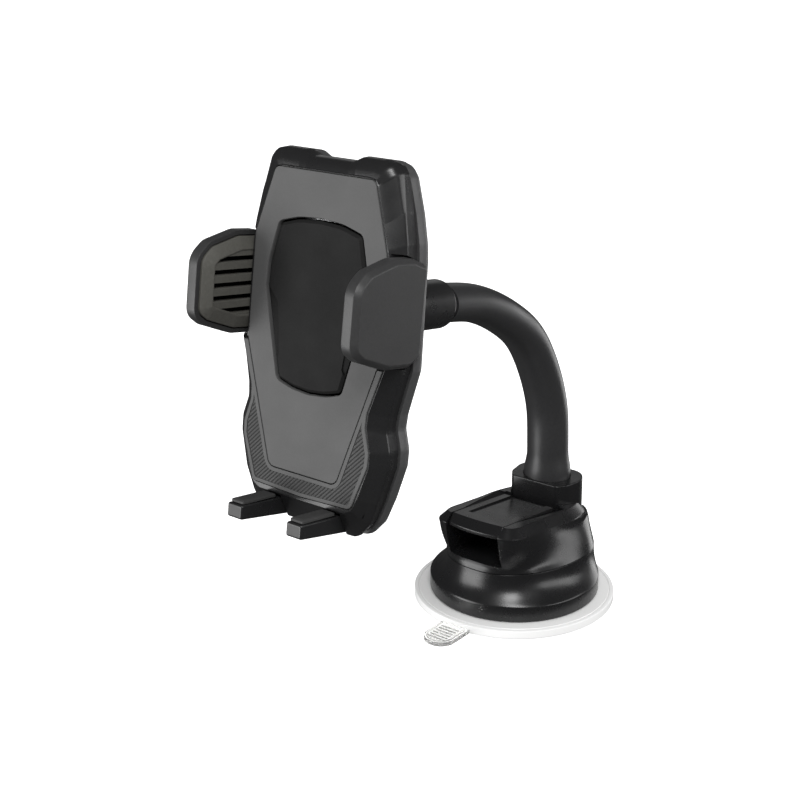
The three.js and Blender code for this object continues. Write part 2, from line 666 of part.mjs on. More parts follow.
const TOOTH_PITCH = 2 * Math.PI * PITCH_RADIUS / PINION_TEETH;
const RACK_LINE = PINION_Z - PITCH_RADIUS;   // pitch line of the right rack

const makeRightBlade = () => {
  const outer = 33.1;
  const tail = -21;
  const backTop = RACK_LINE - 1.1;
  const blade = box(tail, outer, RACK_FRONT, RACK_REAR, backTop - 3.6, backTop);
  const first = Math.ceil((tail + 1) / TOOTH_PITCH);
  const last = Math.floor(23 / TOOTH_PITCH);
  const teeth = Array.from({ length: last - first + 1 }, (_, index) => {
    const centre = (first + index) * TOOTH_PITCH;
    const points = [[-0.8, -1.3], [-0.8, -1], [-0.28, 0.85], [0.28, 0.85], [0.8, -1], [0.8, -1.3]]
      .map(([x, z]) => new THREE.Vector2(centre + x, RACK_LINE + z));
    return plateY(points, RACK_FRONT, RACK_REAR);
  });
  return join([blade, ...teeth]);
};

const makeBracket = () => plateX(armOutline(2.2), 31.4, 33.1);

const ringX = (points, x) => points.map((point) => new THREE.Vector3(x, point.x, point.y));

const makeRightCap = () => {
  const shell = loft([
    ringX(armOutline(0), ARM_PLATE_INNER),
    ringX(armOutline(0), ARM_RIM_OUTER),
    ringX(armOutline(1.6), ARM_OUTER),
  ]);
  const hollow = plateX(armOutline(1.6), 20, 33.6);
  return cut(shell, [hollow]);
};

// soft pad with a chamfered border and a row of slots
const makeRightPad = () => {
  const border = armOutline(2);
  const face = armOutline(4);
  const body = loft([ringX(border, 31.1), ringX(border, 29.6), ringX(face, ARM_HALF_GAP)]);
  const keep = box(0, 60, -40, 3.2, -60, 60);
  const slots = Array.from({ length: SLOT_COUNT }, (_, slot) => {
    const low = SLOT_LOW + slot * SLOT_PITCH;
    return box(ARM_HALF_GAP - 1, ARM_HALF_GAP + SLOT_DEPTH, -16.2, 6, low, low + SLOT_HEIGHT);
  });
  return cut(body.intersect(keep), slots);
};

// ---------------------------------------------------------------- pinion and latch
const makePinion = () => {
  const teeth = Array.from({ length: PINION_TEETH }, (_, tooth) => {
    const angle = (tooth + 0.5) / PINION_TEETH * 2 * Math.PI;
    const points = [[-0.85, 4.3], [-0.8, 5.0], [-0.28, 6.85], [0.28, 6.85], [0.8, 5.0], [0.85, 4.3]]
      .map(([x, z]) => new THREE.Vector2(
        x * Math.cos(angle) + z * Math.sin(angle), PINION_Z - x * Math.sin(angle) + z * Math.cos(angle)));
    return plateY(points, RACK_FRONT, RACK_REAR);
  });
  const hub = rodY(4.75, RACK_FRONT, RACK_REAR, 0, PINION_Z, 24);
  return cut(join([hub, ...teeth]), [rodY(PIN_RADIUS + GAP, 0, 20, 0, PINION_Z, 16)]);
};

const makeLatch = () => {
  const points = flatPoints([
    [-1, 19.6], [0.4, 18.9], [11, 21.2], [14.2, 24.4], [13.4, 26.4], [8.4, 26.2], [6.6, 23.4],
  ]);
  return cut(plateY(points, 5.3, 7.1), [rodY(1.3, 0, 20, LATCH_PIVOT.x, LATCH_PIVOT.z, 12)]);
};

// ---------------------------------------------------------------- cradle casing
const plateRecess = plateY(inset(rounded(mirrored(FACE_HALF), 3), -GAP), -5, FLOOR_FRONT);
const panelOutline = rounded(mirrored(PANEL_HALF), 3);
const footSlot = (side) => box(
  Math.min(side * (FOOT_INNER - 0.4), side * (FOOT_OUTER + 0.4)),
  Math.max(side * (FOOT_INNER - 0.4), side * (FOOT_OUTER + 0.4)), -1, 11, -80, -60.6);

const makeFrontShell = () => {
  const outside = loft([
    ringAt(lip, 0.4), ringAt(rim, chamferDepth), ringAt(rim, FRONT_SHELL_REAR),
  ]);
  const chamferWall = plateX(flatPoints([[0, -56], [2.2, -58.6], [7.4, -67], [7.4, -70], [0, -70]]), -27, 27);
  const inside = cut(plateY(cavity, FLOOR_REAR, 20), [chamferWall, ...notchTools(WALL)]);
  const window = plateY(inset(panelOutline, -0.7), -1, 20);
  const bladeSlots = [1, -1].map((side) => {
    const lowEdge = side > 0 ? RACK_LINE - 5.1 : 2 * PINION_Z - RACK_LINE - 1.3;
    const x0 = side > 0 ? 24 : -34;
    return box(x0, x0 + 10, RACK_FRONT - GAP, 20, lowEdge, lowEdge + 6.4);
  });
  const carriageGap = box(-16.8, 16.8, FRONT_SHELL_REAR - 0.4, 12, -80, -60);
  const screwBores = SHELL_SCREWS.map(([x, z]) => rodY(1.2, FLOOR_REAR - 1, 20, x, z, 8));
  const bosses = SHELL_SCREWS.map(([x, z]) => rodY(2.4, FLOOR_REAR - 0.4, FRONT_SHELL_REAR, x, z, 10));
  const hollow = cut(outside, [plateRecess, inside, window, ...notchTools(0)]);
  const withBosses = join([hollow, ...bosses]);
  return cut(withBosses, [...screwBores, ...bladeSlots, carriageGap, footSlot(1), footSlot(-1)]);
};

const makeMidBand = () => {
  const outline = inset(rim, 0.8);
  const outside = plateY(outline, BAND_FRONT, BAND_REAR);
  const inside = cut(plateY(inset(rim, 0.8 + WALL), 0, 20), notchTools(WALL));
  return cut(outside, [inside, ...notchTools(0), box(-17.2, 17.2, 0, 20, -80, -60)]);
};

const makeRearShell = () => {
  const outside = loft([
    ringAt(rearRim, REAR_SHELL_FRONT), ringAt(inset(rearRim, -0.4), 13.2), ringAt(inset(rearRim, 0.6), 15.6),
    ringAt(inset(rearRim, 3.2), BACK),
  ]);
  const inside = cut(plateY(inset(rearRim, WALL + 0.4), 5, BACK_WALL), notchTools(WALL));
  const socket = rodY(13.1, BACK - 0.3, 25.5);
  const axleBoss = rodY(3.6, 7.6, BACK_WALL + 0.5, 0, PINION_Z, 18);
  const screwPosts = SHELL_SCREWS.map(([x, z]) => rodY(2.6, 7.8, BACK_WALL + 0.5, x, z, 10));
  const hollow = cut(outside, [inside, ...notchTools(0)]);
  const latchBoss = rodY(2.4, 7.6, BACK_WALL + 0.5, LATCH_PIVOT.x, LATCH_PIVOT.z, 12);
  const whole = join([hollow, socket, axleBoss, latchBoss, ...screwPosts]);
  return cut(whole, [
    rodY(10.9, 16.6, 40),
    rodY(PIN_RADIUS + 0.05, 0, 14.4, 0, PINION_Z, 16),
    rodY(1.05, 0, 13.2, LATCH_PIVOT.x, LATCH_PIVOT.z, 12),
    box(-17.2, 17.2, 5, 10.7, -80, -60),
    ...SHELL_SCREWS.map(([x, z]) => rodY(1.5, 0, 30, x, z, 8)),
    ...SHELL_SCREWS.map(([x, z]) => rodY(2.9, 15.6, 30, x, z, 10)),
  ]);
};

const makeShellScrew = (x, z) => join([
  rodY(2.4, 15.9, 17.3, x, z, 10),
  rodY(0.9, 3.6, 16, x, z, 8),
]);

const makeFacePlate = () => cut(plateY(rounded(mirrored(PLATE_HALF), 3), 0, PLATE_THICKNESS),
  [plateY(inset(panelOutline, -0.7), -2, 5)]);

const makeLowerTrim = () => cut(plateY(rounded(mirrored(FACE_HALF), 3), 0, PLATE_THICKNESS), [
  plateY(inset(rounded(mirrored(PLATE_HALF), 3), -0.35), -2, 5),
  box(-40, 40, -2, 5, -11.6, 60),
]);

const makePanel = () => {
  const plate = loft([
    ringAt(inset(panelOutline, 0.9), -0.1), ringAt(panelOutline, 0.7), ringAt(panelOutline, 2.3),
  ]);
  const pusher = box(14.8, 16.4, 2.2, 4.4, 23.5, 26);
  return join([plate, pusher]);
};

// a bowed strip behind the panel, drawn as it is with the panel pressed
const makeTriggerSpring = (z) => {
  const thickness = 0.35;
  const bow = new THREE.QuadraticBezierCurve(
    new THREE.Vector2(-13, 7.3), new THREE.Vector2(0, 3.4), new THREE.Vector2(13, 7.3)).getPoints(8);
  const back = bow.map(({ x, y }) => new THREE.Vector2(x, y + thickness)).reverse();
  return plateZ([...bow, ...back], z, z + 3);
};

place(cradle, 'front_shell', makeFrontShell(), 'shell');
place(cradle, 'mid_band', makeMidBand(), 'shell');
place(cradle, 'rear_shell', makeRearShell(), 'rearShell');
SHELL_SCREWS.forEach(([x, z], index) => {
  place(cradle, `shell_screw_${index + 1}`, makeShellScrew(x, z), 'steel');
});
place(cradle, 'face_plate', makeFacePlate(), 'plate');
place(cradle, 'lower_trim', makeLowerTrim(), 'plate');
place(cradle, 'centre_panel', makePanel(), 'panel');
place(cradle, 'pinion', makePinion(), 'acetal');
place(cradle, 'pinion_axle', rodY(PIN_RADIUS, RACK_FRONT, 14.2, 0, PINION_Z, 16), 'steel');
place(cradle, 'latch_pawl', makeLatch(), 'acetal');
place(cradle, 'latch_pin', rodY(1, RACK_FRONT, 13, LATCH_PIVOT.x, LATCH_PIVOT.z, 12), 'steel');
place(cradle, 'trigger_spring_upper', makeTriggerSpring(28), 'steel');
place(cradle, 'trigger_spring_lower', makeTriggerSpring(-16), 'steel');

const turnAbout = (solid) => solid.rotate([0, 180, 0]).translate([0, 0, 2 * PINION_Z]);
place(cradle, 'right_rack', join([makeRightBlade(), makeBracket()]), 'shell');
place(cradle, 'left_rack', join([turnAbout(makeRightBlade()), mirrorX(makeBracket())]), 'shell');
place(cradle, 'right_arm_cap', makeRightCap(), 'shell');
place(cradle, 'left_arm_cap', mirrorX(makeRightCap()), 'shell');
place(cradle, 'right_arm_pad', makeRightPad(), 'pad');
place(cradle, 'left_arm_pad', mirrorX(makeRightPad()), 'pad');

// ---------------------------------------------------------------- foot supports
const makeFootBracket = () => {
  const carriage = box(-16.2, 16.2, 8.1, 9.9, -66.4, -34);
  const foot = plateX(flatPoints([
    [FOOT_TIP, -66.2], [FOOT_TIP, -61.4], [9.8, -61.8], [9.8, -68.2], [5.3, -67.9],
  ]), FOOT_INNER, FOOT_OUTER);
  return join([carriage, foot, mirrorX(foot)]);
};

const makeRightFootPad = () => box(FOOT_INNER + 0.5, FOOT_OUTER - 0.5, -15.6, -0.3, -61.0, -60);

place(cradle, 'foot_bracket', makeFootBracket(), 'shell');
place(cradle, 'right_foot_pad', makeRightFootPad(), 'rubber');
place(cradle, 'left_foot_pad', mirrorX(makeRightFootPad()), 'rubber');

export default mount;
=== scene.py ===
"""Car phone mount: the fine surfaces, finishes, light and camera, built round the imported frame.

Shapes are worked out in millimetres, in the base's frame or in the tilted cradle's frame (x right,
y to the rear, z up its face), and each piece is brought into the row frame, in metres, at its end.
"""
import json
import math

import bmesh
import bpy
from mathutils import Matrix, Vector


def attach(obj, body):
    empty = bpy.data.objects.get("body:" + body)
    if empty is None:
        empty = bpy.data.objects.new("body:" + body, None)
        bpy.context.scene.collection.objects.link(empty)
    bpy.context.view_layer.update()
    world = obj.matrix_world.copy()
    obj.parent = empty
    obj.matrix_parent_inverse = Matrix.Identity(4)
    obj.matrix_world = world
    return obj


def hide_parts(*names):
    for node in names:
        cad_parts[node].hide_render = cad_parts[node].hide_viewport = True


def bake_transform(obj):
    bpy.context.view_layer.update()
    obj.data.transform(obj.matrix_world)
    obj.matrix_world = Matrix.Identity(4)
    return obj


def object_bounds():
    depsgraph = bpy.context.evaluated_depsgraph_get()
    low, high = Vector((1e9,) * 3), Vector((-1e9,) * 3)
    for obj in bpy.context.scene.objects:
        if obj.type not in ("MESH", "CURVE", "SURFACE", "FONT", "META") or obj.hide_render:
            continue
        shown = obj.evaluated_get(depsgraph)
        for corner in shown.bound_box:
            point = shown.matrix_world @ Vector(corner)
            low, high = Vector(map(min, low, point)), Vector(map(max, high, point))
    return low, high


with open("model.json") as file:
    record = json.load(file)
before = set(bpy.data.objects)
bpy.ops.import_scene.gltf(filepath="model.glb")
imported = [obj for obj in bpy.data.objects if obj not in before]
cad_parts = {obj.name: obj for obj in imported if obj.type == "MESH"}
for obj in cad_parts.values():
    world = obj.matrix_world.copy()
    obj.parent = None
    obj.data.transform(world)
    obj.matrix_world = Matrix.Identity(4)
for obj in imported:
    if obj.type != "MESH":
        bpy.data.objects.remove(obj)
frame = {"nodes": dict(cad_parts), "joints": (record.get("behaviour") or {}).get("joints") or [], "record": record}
cad_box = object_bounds()

# ---------------------------------------------------------------- driving dimensions, mm
MM = 0.001
GAP = 0.3

GEL_RADIUS = 40
GEL_TOP = 3.5
TAB_WIDTH = 13
TAB_END = -55.5
TAB_RIB_START = -52.6
TAB_RIB_PITCH = 1.8
BELL_BOTTOM = 3.9
BELL_TOP = 21.1
HOUSING_BOTTOM = 21.4
HOUSING_FLOOR = 24.5
TOP_HEIGHT = 37.97
TOP_SLOPE = -0.1206
WELL_HALF = 12.1
WELL_REAR = 12
LEVER_HALF = 11.75
LEVER_PIVOT = (3.5, 31.5)
LEVER_TRAVEL = math.radians(80)
STUD_PIN_HEIGHT = 28.8
STUD_TRAVEL = 2.4
PIN_RADIUS = 1.5
COLLAR_BOTTOM = 29.5
COLLAR_TOP = 44.2
COLLAR = [
    (-10.6, 13.2, 2.5), (10.6, 13.2, 2.5), (13.6, 17.6, 6), (15, 26, 7),
    (10.5, 32.8, 7), (-10.5, 32.8, 7), (-15, 26, 7), (-13.6, 17.6, 6),
]

NECK_Y = 22.8
NECK_LINE = [
    (NECK_Y, 36), (NECK_Y, 56), (21.2, 74), (14.5, 91.5), (3.8, 107.3),
    (-12, 119.2), (-30, 128), (-46.05, 132.07), (-62.4, 134.65),
]
NECK_HALF_WIDTH = 8.5
NECK_HALF_ROOT = 8.1
NECK_HALF_TIP = 7.0
NECK_FLARE = 1.25                 # how much wider the sleeve is where it leaves the collar
SLEEVE_END_Y = -51
SLEEVE_BEVEL = 0.4
SLEEVE_SIDES = 56

BALL_DEPTH = 27                   # the ball's centre behind the cradle's face
FLOOR_FRONT = 1.9
FLOOR_REAR = 3.4
FRONT_SHELL_REAR = 7.5
BAND = (7.8, 10.2)
REAR_SHELL_FRONT = 10.5
BACK_WALL = 15.5
BACK = 17.5
WALL = 2
NOTCH_X = 27.9
PINION_Z = 7.5
RACK_LINE = 1.5                   # height of the right rack's pitch line
RACK_FRONT = 4.9
LATCH_PIVOT = (10, 23.6)
FOOT_INNER = 9.5
FOOT_OUTER = 15.9
SHELL_SCREWS = [(-21, 36), (21, 36), (-21.5, -45), (21.5, -45)]

# right halves of the cradle's outlines as (x, z, corner radius), from the top centre down
FACE_HALF = [
    (0, 45.9, 0), (20.2, 45.9, 2.2), (27, 24, 6), (27.2, -10.8, 0), (29.4, -10.8, 0), (24.4, -26, 6),
    (24.2, -30.8, 6), (26.5, -38.6, 5), (26.4, -43, 6), (21, -58, 2.4), (0, -58.8, 0),
]
PLATE_HALF = [
    (0, 45.9, 0), (20.2, 45.9, 2.2), (27, 24, 6), (27.2, -10.5, 1), (14.2, -51.4, 3), (0, -51.4, 0),
]
PANEL_HALF = [
    (0, 30.9, 0), (9, 30.3, 20), (16.6, 28.2, 2), (19.9, 15.5, 12), (20.3, 7, 6), (13.1, -21.6, 2),
    (7, -23.4, 20), (0, -24, 0),
]
LIP_HALF = [
    (0, 46.5, 0), (8.5, 46.5, 2), (11.5, 46.5, 2), (17.6, 46.5, 2), (20, 46, 1.6), (21.3, 44.4, 2),
    (24.8, 33, 10), (27.4, 25.6, 8), (28.3, 21, 8), (30, -11, 6), (25.1, -26, 6), (24.8, -30.6, 6),
    (27, -38.4, 5), (27, -43, 6), (23.4, -54.2, 8), (21.4, -58.6, 3), (18.4, -60.2, 2), (9, -60.2, 3),
    (0, -60.2, 0),
]
RIM_HALF = [
    (0, 50.5, 0), (8, 50.5, 3), (11.5, 52.3, 3), (20.5, 52.3, 3), (24.2, 51.4, 3), (26.2, 48.6, 3),
    (29.4, 37, 12), (31.3, 27.5, 8), (32, 22, 8), (33.2, -12, 6), (29.8, -26.6, 6), (29.4, -31.4, 6),
    (31.4, -38, 6), (31.4, -43.4, 6), (28.2, -55, 10), (25.2, -63, 4), (20.5, -68.4, 4), (10, -68.6, 3),
    (0, -68.6, 0),
]
ARM = [                           # as (y, z, corner radius)
    (-22.6, -3, 6), (-22.6, 16.4, 7), (-17.2, 21, 7), (-5, 24.2, 8), (4, 24, 5), (11.4, 21.6, 2.5),
    (11.4, -7.8, 2.5), (6, -10.2, 5), (-5, -9.8, 8), (-17.5, -6.2, 7),
]

# the rear shell's outline: as the rim, with its top corners drawn in
REAR_TOP = [
    (0, 49.7, 0), (9.2, 49.7, 3), (12.6, 51.4, 3), (19.8, 51.4, 4), (23.3, 50.3, 4), (25.5, 47.4, 4),
    (29.1, 36.6, 12),
]

# ---------------------------------------------------------------- the two working frames
JOINTS = {joint["name"]: joint for joint in frame["joints"]}


def cradle_space():
    """From cradle millimetres to row metres: the ball's hinges give its axes and its place."""
    rearward = Vector(JOINTS["ball_roll"]["axis"]).normalized()
    upward = Vector(JOINTS["ball_pan"]["axis"]).normalized()
    origin = Vector(JOINTS["ball_roll"]["pos_m"]) - rearward * BALL_DEPTH * MM
    turn = Matrix((Vector((1, 0, 0)), rearward, upward)).transposed().to_4x4()
    return Matrix.Translation(origin) @ turn @ Matrix.Scale(MM, 4)


BASE = Matrix.Scale(MM, 4)
CRADLE = cradle_space()


def along_x(u, v, depth):
    return Vector((depth, u, v))


def along_y(u, v, depth):
    return Vector((u, depth, v))


def along_z(u, v, depth):
    return Vector((u, v, depth))


# ---------------------------------------------------------------- outlines
def mirrored(half):
    """Closes a right half with its mirror image."""
    left = [(-u, v, radius) for u, v, radius in half if u > 0]
    return [*half, *reversed(left)]


def neighbours(items):
    """Each item of a closed list with the one before it and the one after it."""
    return zip(items[-1:] + items[:-1], items, items[1:] + items[:1])


def shift(corners, distance):
    """Moves every edge of an outline inwards; round corners keep their centres."""
    area = sum(a[0] * b[1] - b[0] * a[1] for _, a, b in neighbours(corners))
    side = math.copysign(1, area)
    moved = []
    for before, here, after in neighbours(corners):
        corner = Vector(here[:2])
        into = (corner - Vector(before[:2])).normalized()
        out = (Vector(after[:2]) - corner).normalized()
        inward = Vector((-out.y, out.x)) * side
        bisector = (Vector((-into.y, into.x)) * side + inward).normalized()
        corner += bisector * distance / max(0.5, bisector.dot(inward))
        convex = side * (into.x * out.y - into.y * out.x) > 0
        radius = here[2]
        if radius:
            radius = max(0.1, radius - distance if convex else radius + distance)
        moved.append((corner.x, corner.y, radius))
    return moved


def rounded(corners, steps=6):
    """The points of an outline, with a true arc at each corner that has a radius."""
    points = []
    for before, (u, v, radius), after in neighbours(corners):
        here = Vector((u, v))
        if not radius:
            points.append(here)
            continue
        back = Vector(before[:2]) - here
        ahead = Vector(after[:2]) - here
        half = back.angle(ahead) / 2
        reach = min(radius / math.tan(half), back.length * 0.49, ahead.length * 0.49)
        start = here + back.normalized() * reach
        end = here + ahead.normalized() * reach
        pull = math.sin(half)
        for step in range(steps + 1):
            t = step / steps
            weights = ((1 - t) ** 2, 2 * pull * t * (1 - t), t ** 2)
            points.append((start * weights[0] + here * weights[1] + end * weights[2]) / sum(weights))
    return points


def mixed(first, second, share):
    """An outline between two outlines that have the same number of corners."""
    return [tuple(a + (b - a) * share for a, b in zip(one, two)) for one, two in zip(first, second)]


def spline_point(points, t):
    """A point on the centripetal curve through four points, between the middle two."""
    knots = [0]
    for a, b in zip(points, points[1:]):
        knots.append(knots[-1] + max((b - a).length ** 0.5, 1e-6))
    at = knots[1] + (knots[2] - knots[1]) * t
    level = list(points)
    for width in (1, 2):
        level = [
            (level[i] * (knots[i + width] - at) + level[i + 1] * (at - knots[i]))
            / (knots[i + width] - knots[i])
            for i in range(len(level) - 1)
        ]
    low, high = level
    return (low * (knots[2] - at) + high * (at - knots[1])) / (knots[2] - knots[1])


def smooth_loop(controls, steps=8):
    """A closed smooth curve through its control points."""
    count = len(controls)
    return [
        spline_point([controls[(i + k) % count] for k in (-1, 0, 1, 2)], step / steps)
        for i in range(count) for step in range(steps)
    ]


def smooth_path(controls, steps=8):
    """An open smooth curve through its control points."""
    ends = [controls[0] * 2 - controls[1], *controls, controls[-1] * 2 - controls[-2]]
    points = [
        spline_point(ends[i:i + 4], step / steps)
        for i in range(len(controls) - 1) for step in range(steps)
    ]
    return [*points, controls[-1]]


# ---------------------------------------------------------------- solids, in millimetres
def shape(vertices, faces):
    """A working object with its faces turned outwards."""
    mesh = bpy.data.meshes.new("shape")
    mesh.from_pydata([tuple(vertex) for vertex in vertices], [], faces)
    work = bmesh.new()
    work.from_mesh(mesh)
    bmesh.ops.remove_doubles(work, verts=work.verts, dist=1e-5)
    bmesh.ops.recalc_face_normals(work, faces=work.faces)
    work.to_mesh(mesh)
    work.free()
    made = bpy.data.objects.new("shape", mesh)
    bpy.context.scene.collection.objects.link(made)
    return made


def loft(rings, wrap=False):
    """Skins rings that hold equal numbers of points, and closes the ends unless they wrap round."""
    count = len(rings[0])
    spans = len(rings) if wrap else len(rings) - 1
    faces = []
    for span in range(spans):
        low = span * count
        high = (span + 1) % len(rings) * count
        for i in range(count):
            j = (i + 1) % count
            faces.append((low + i, low + j, high + j, high + i))
    if not wrap:
        faces.append(tuple(range(count)))
        faces.append(tuple(range((len(rings) - 1) * count, len(rings) * count)))
    return shape([point for ring in rings for point in ring], faces)


def slab(corners, section, place, steps=6):
    """Lofts an outline through a section of (how far it is drawn in, how deep it lies)."""
    return loft([
        [place(*point, depth) for point in rounded(shift(corners, inset), steps)] for inset, depth in section
    ])


def soft_edge(at, radius, away, steps=3):
    """The section of one rounded edge, from the flat at depth at; away is +1 or -1."""
    quarter = [math.pi / 2 * step / steps for step in range(steps + 1)]
    return [(radius * (1 - math.sin(a)), at + away * radius * (1 - math.cos(a))) for a in quarter]


def soft_section(low, high, radius, steps=3):
    """A section from low to high with both edges rounded."""
    return [*soft_edge(low, radius, 1, steps), *reversed(soft_edge(high, radius, -1, steps))]


def prism(points, place, low, high):
    return loft([[place(*point, depth) for point in points] for depth in (low, high)])


def block(x0, x1, y0, y1, z0, z1):
    return prism([(x0, y0), (x1, y0), (x1, y1), (x0, y1)], along_z, z0, z1)


def circle(radius, place, depth, centre=(0, 0), sides=48):
    turns = [2 * math.pi * side / sides for side in range(sides)]
    return [place(centre[0] + radius * math.cos(a), centre[1] + radius * math.sin(a), depth) for a in turns]


def rod(radius, place, low, high, centre=(0, 0), sides=32, far_radius=None):
    far_radius = radius if far_radius is None else far_radius
    return loft([
        circle(radius, place, low, centre, sides), circle(far_radius, place, high, centre, sides),
    ])


def turned(profile, place, centre=(0, 0), sides=64, wrap=False):
    """A turned piece; profile holds (radius, depth)."""
    return loft([circle(radius, place, depth, centre, sides) for radius, depth in profile], wrap)


def bake(made):
    """Applies what modifiers an object has to its mesh."""
    bpy.context.view_layer.update()
    graph = bpy.context.evaluated_depsgraph_get()
    mesh = bpy.data.meshes.new_from_object(made.evaluated_get(graph))
    made.modifiers.clear()
    made.data = mesh
    return made


def combine(made, tools, operation="DIFFERENCE"):
    """Cuts, joins or intersects an object with tools, which are used up."""
    for tool in tools:
        modifier = made.modifiers.new("combine", "BOOLEAN")
        modifier.operation = operation
        modifier.solver = "EXACT"
        modifier.object = tool
    bake(made)
    for tool in tools:
        bpy.data.objects.remove(tool)
    return made


def cut(made, tools):
    return combine(made, tools)


def join(made, tools):
    return combine(made, tools, "UNION")


def merged(parts):
    """One object from several that stay separate solids."""
    work = bmesh.new()
    for part in parts:
        work.from_mesh(part.data)
    mesh = bpy.data.meshes.new("shape")
    work.to_mesh(mesh)
    work.free()
    for part in parts:
        bpy.data.objects.remove(part)
    made = bpy.data.objects.new("shape", mesh)
    bpy.context.scene.collection.objects.link(made)
    return made


def flipped(made):
    """The mirror image in the cradle's middle plane."""
    made.data.transform(Matrix.Scale(-1, 4, Vector((1, 0, 0))))
    made.data.flip_normals()
    return made


# ---------------------------------------------------------------- finishes
def noise(nodes, links, coordinates, size, detail=3, roughness=0.5):
    """A noise whose features are about size millimetres across."""
    texture = nodes.new("ShaderNodeTexNoise")
    texture.inputs["Scale"].default_value = 1 / (size * MM)
    texture.inputs["Detail"].default_value = detail
    texture.inputs["Roughness"].default_value = roughness
    links.new(coordinates, texture.inputs["Vector"])
    return texture.outputs["Fac"]


def scaled(nodes, links, value, low, high):
    """Spreads a noise's middle range over low to high."""
    spread = nodes.new("ShaderNodeMapRange")
    spread.inputs["From Min"].default_value = 0.3
    spread.inputs["From Max"].default_value = 0.7
    spread.inputs["To Min"].default_value = low
    spread.inputs["To Max"].default_value = high
    links.new(value, spread.inputs["Value"])
    return spread.outputs["Result"]


def moulded(name, colour, roughness, grain=0.2, grain_size=0.3, uneven=0.05, mottle=0.08, sockets=None):
    """Moulded plastic or rubber: a spark-eroded grain, with slightly uneven colour and gloss."""
    material = bpy.data.materials.new(name)
    material.use_nodes = True
    nodes = material.node_tree.nodes
    links = material.node_tree.links
    shader = nodes["Principled BSDF"]
    for socket, value in (sockets or {}).items():
        shader.inputs[socket].default_value = value
    place = nodes.new("ShaderNodeTexCoord").outputs["Object"]
    broad = noise(nodes, links, place, 14, 4, 0.6)
    fine = noise(nodes, links, place, grain_size, 2)
    speckle = noise(nodes, links, place, grain_size * 2.5, 2)
    tint = nodes.new("ShaderNodeMix")
    tint.data_type = "RGBA"
    links.new(scaled(nodes, links, speckle, 0, 1), tint.inputs["Factor"])
    tint.inputs["A"].default_value = (*(channel * (1 - mottle) for channel in colour), 1)
    tint.inputs["B"].default_value = (*(channel * (1 + mottle) for channel in colour), 1)
    links.new(tint.outputs["Result"], shader.inputs["Base Color"])
    gloss = scaled(nodes, links, broad, roughness - uneven, roughness + uneven)
    links.new(gloss, shader.inputs["Roughness"])
    bump = nodes.new("ShaderNodeBump")
    bump.inputs["Strength"].default_value = grain
    bump.inputs["Distance"].default_value = 0.03 * MM
    links.new(fine, bump.inputs["Height"])
    links.new(bump.outputs["Normal"], shader.inputs["Normal"])
    return material


def brushed(name, colour, roughness):
    """Plated steel, drawn along its length."""
    material = moulded(name, colour, roughness, grain=0.15, grain_size=0.2, mottle=0.04)
    material.node_tree.nodes["Principled BSDF"].inputs["Metallic"].default_value = 1
    return material


LOOKS = {
    "gel": moulded("gel", (0.87, 0.87, 0.865), 0.35, grain=0.03, uneven=0.02, mottle=0.004),
    "clear_gel": moulded("clear_gel", (0.95, 0.95, 0.94), 0.15, grain=0.03, uneven=0.02, mottle=0.005,
                         sockets={"Transmission Weight": 0.9, "IOR": 1.35}),
    "black_base": moulded("black_base", (0.009, 0.009, 0.0095), 0.27, grain=0.08, grain_size=0.25),
    "neck_rubber": moulded("neck_rubber", (0.024, 0.024, 0.025), 0.38, grain=0.14, grain_size=0.35),
    "casing": moulded("casing", (0.013, 0.013, 0.0135), 0.3, grain=0.12, grain_size=0.28),
    # the arm caps: a matter copy of the casing's black, its colour lifted as painted light for the light on the
    # arms' outer faces
    "arm_shell": moulded("arm_shell", (0.032, 0.032, 0.0325), 0.45, grain=0.12, grain_size=0.28),
    # the rear shell: a matter copy of the casing's black, its colour lifted as painted light for the highlights
    # along its sides
    "back_casing": moulded("back_casing", (0.05, 0.05, 0.051), 0.45, grain=0.14, grain_size=0.3),
    "plate_grey": moulded("plate_grey", (0.08, 0.08, 0.08), 0.6, grain=0.1, grain_size=0.25, mottle=0.025,
                          sockets={"Specular IOR Level": 0.35}),
    "rib_grey": moulded("rib_grey", (0.05, 0.05, 0.05), 0.6, grain=0.1, grain_size=0.25,
                        sockets={"Specular IOR Level": 0.3}),
    # painted shade: a near-black look for the sheet behind the arm pads' slots
    "painted_slot_shade": moulded("painted_slot_shade", (0.003, 0.003, 0.003), 0.8, sockets={"Specular IOR Level": 0.05}),
    "panel_dark": moulded("panel_dark", (0.0105, 0.0105, 0.0105), 0.65, grain=0.15, grain_size=0.25,
                          sockets={"Specular IOR Level": 0.15}),
    "arm_pad": moulded("arm_pad", (0.085, 0.083, 0.073), 0.62, grain=0.25, grain_size=0.4),
    "black_rubber": moulded("black_rubber", (0.035, 0.035, 0.035), 0.6, grain=0.3, grain_size=0.4),
    "acetal": moulded("acetal", (0.62, 0.61, 0.57), 0.4, grain=0.1, grain_size=0.3,
                      sockets={"Subsurface Weight": 0.1, "Subsurface Scale": 0.002}),
    "steel": brushed("steel", (0.55, 0.55, 0.56), 0.3),
}


def finished(made, name, space, body, slot, replaces=(), sharp=33):
    """Brings a working object into the row frame and makes it a piece of the model."""
    made.name = name
    mesh = made.data
    mesh.name = name
    mesh.transform(space)
    mesh.shade_smooth()
    mesh.set_sharp_from_angle(angle=math.radians(sharp))
    if not mesh.materials:
        mesh.materials.append(LOOKS[slot])
    modifier = made.modifiers.new("flats", "WEIGHTED_NORMAL")
    modifier.keep_sharp = True
    if isinstance(body, str):
        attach(made, body)
    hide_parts(*replaces)
    return made


# ---------------------------------------------------------------- suction base
def gel_disc():
    section = [
        (30, 0), (39.6, 0), (GEL_RADIUS, 0.4), (GEL_RADIUS, 2.9), (39.85, 3.3), (39.5, GEL_TOP),
        (38.4, GEL_TOP), (38.25, 3.3), (38.0, 3.3), (37.85, GEL_TOP), (30, GEL_TOP),
    ]
    return finished(turned(section, along_z, sides=160), "gel_disc", BASE, "base", "gel", ["gel_pad"])


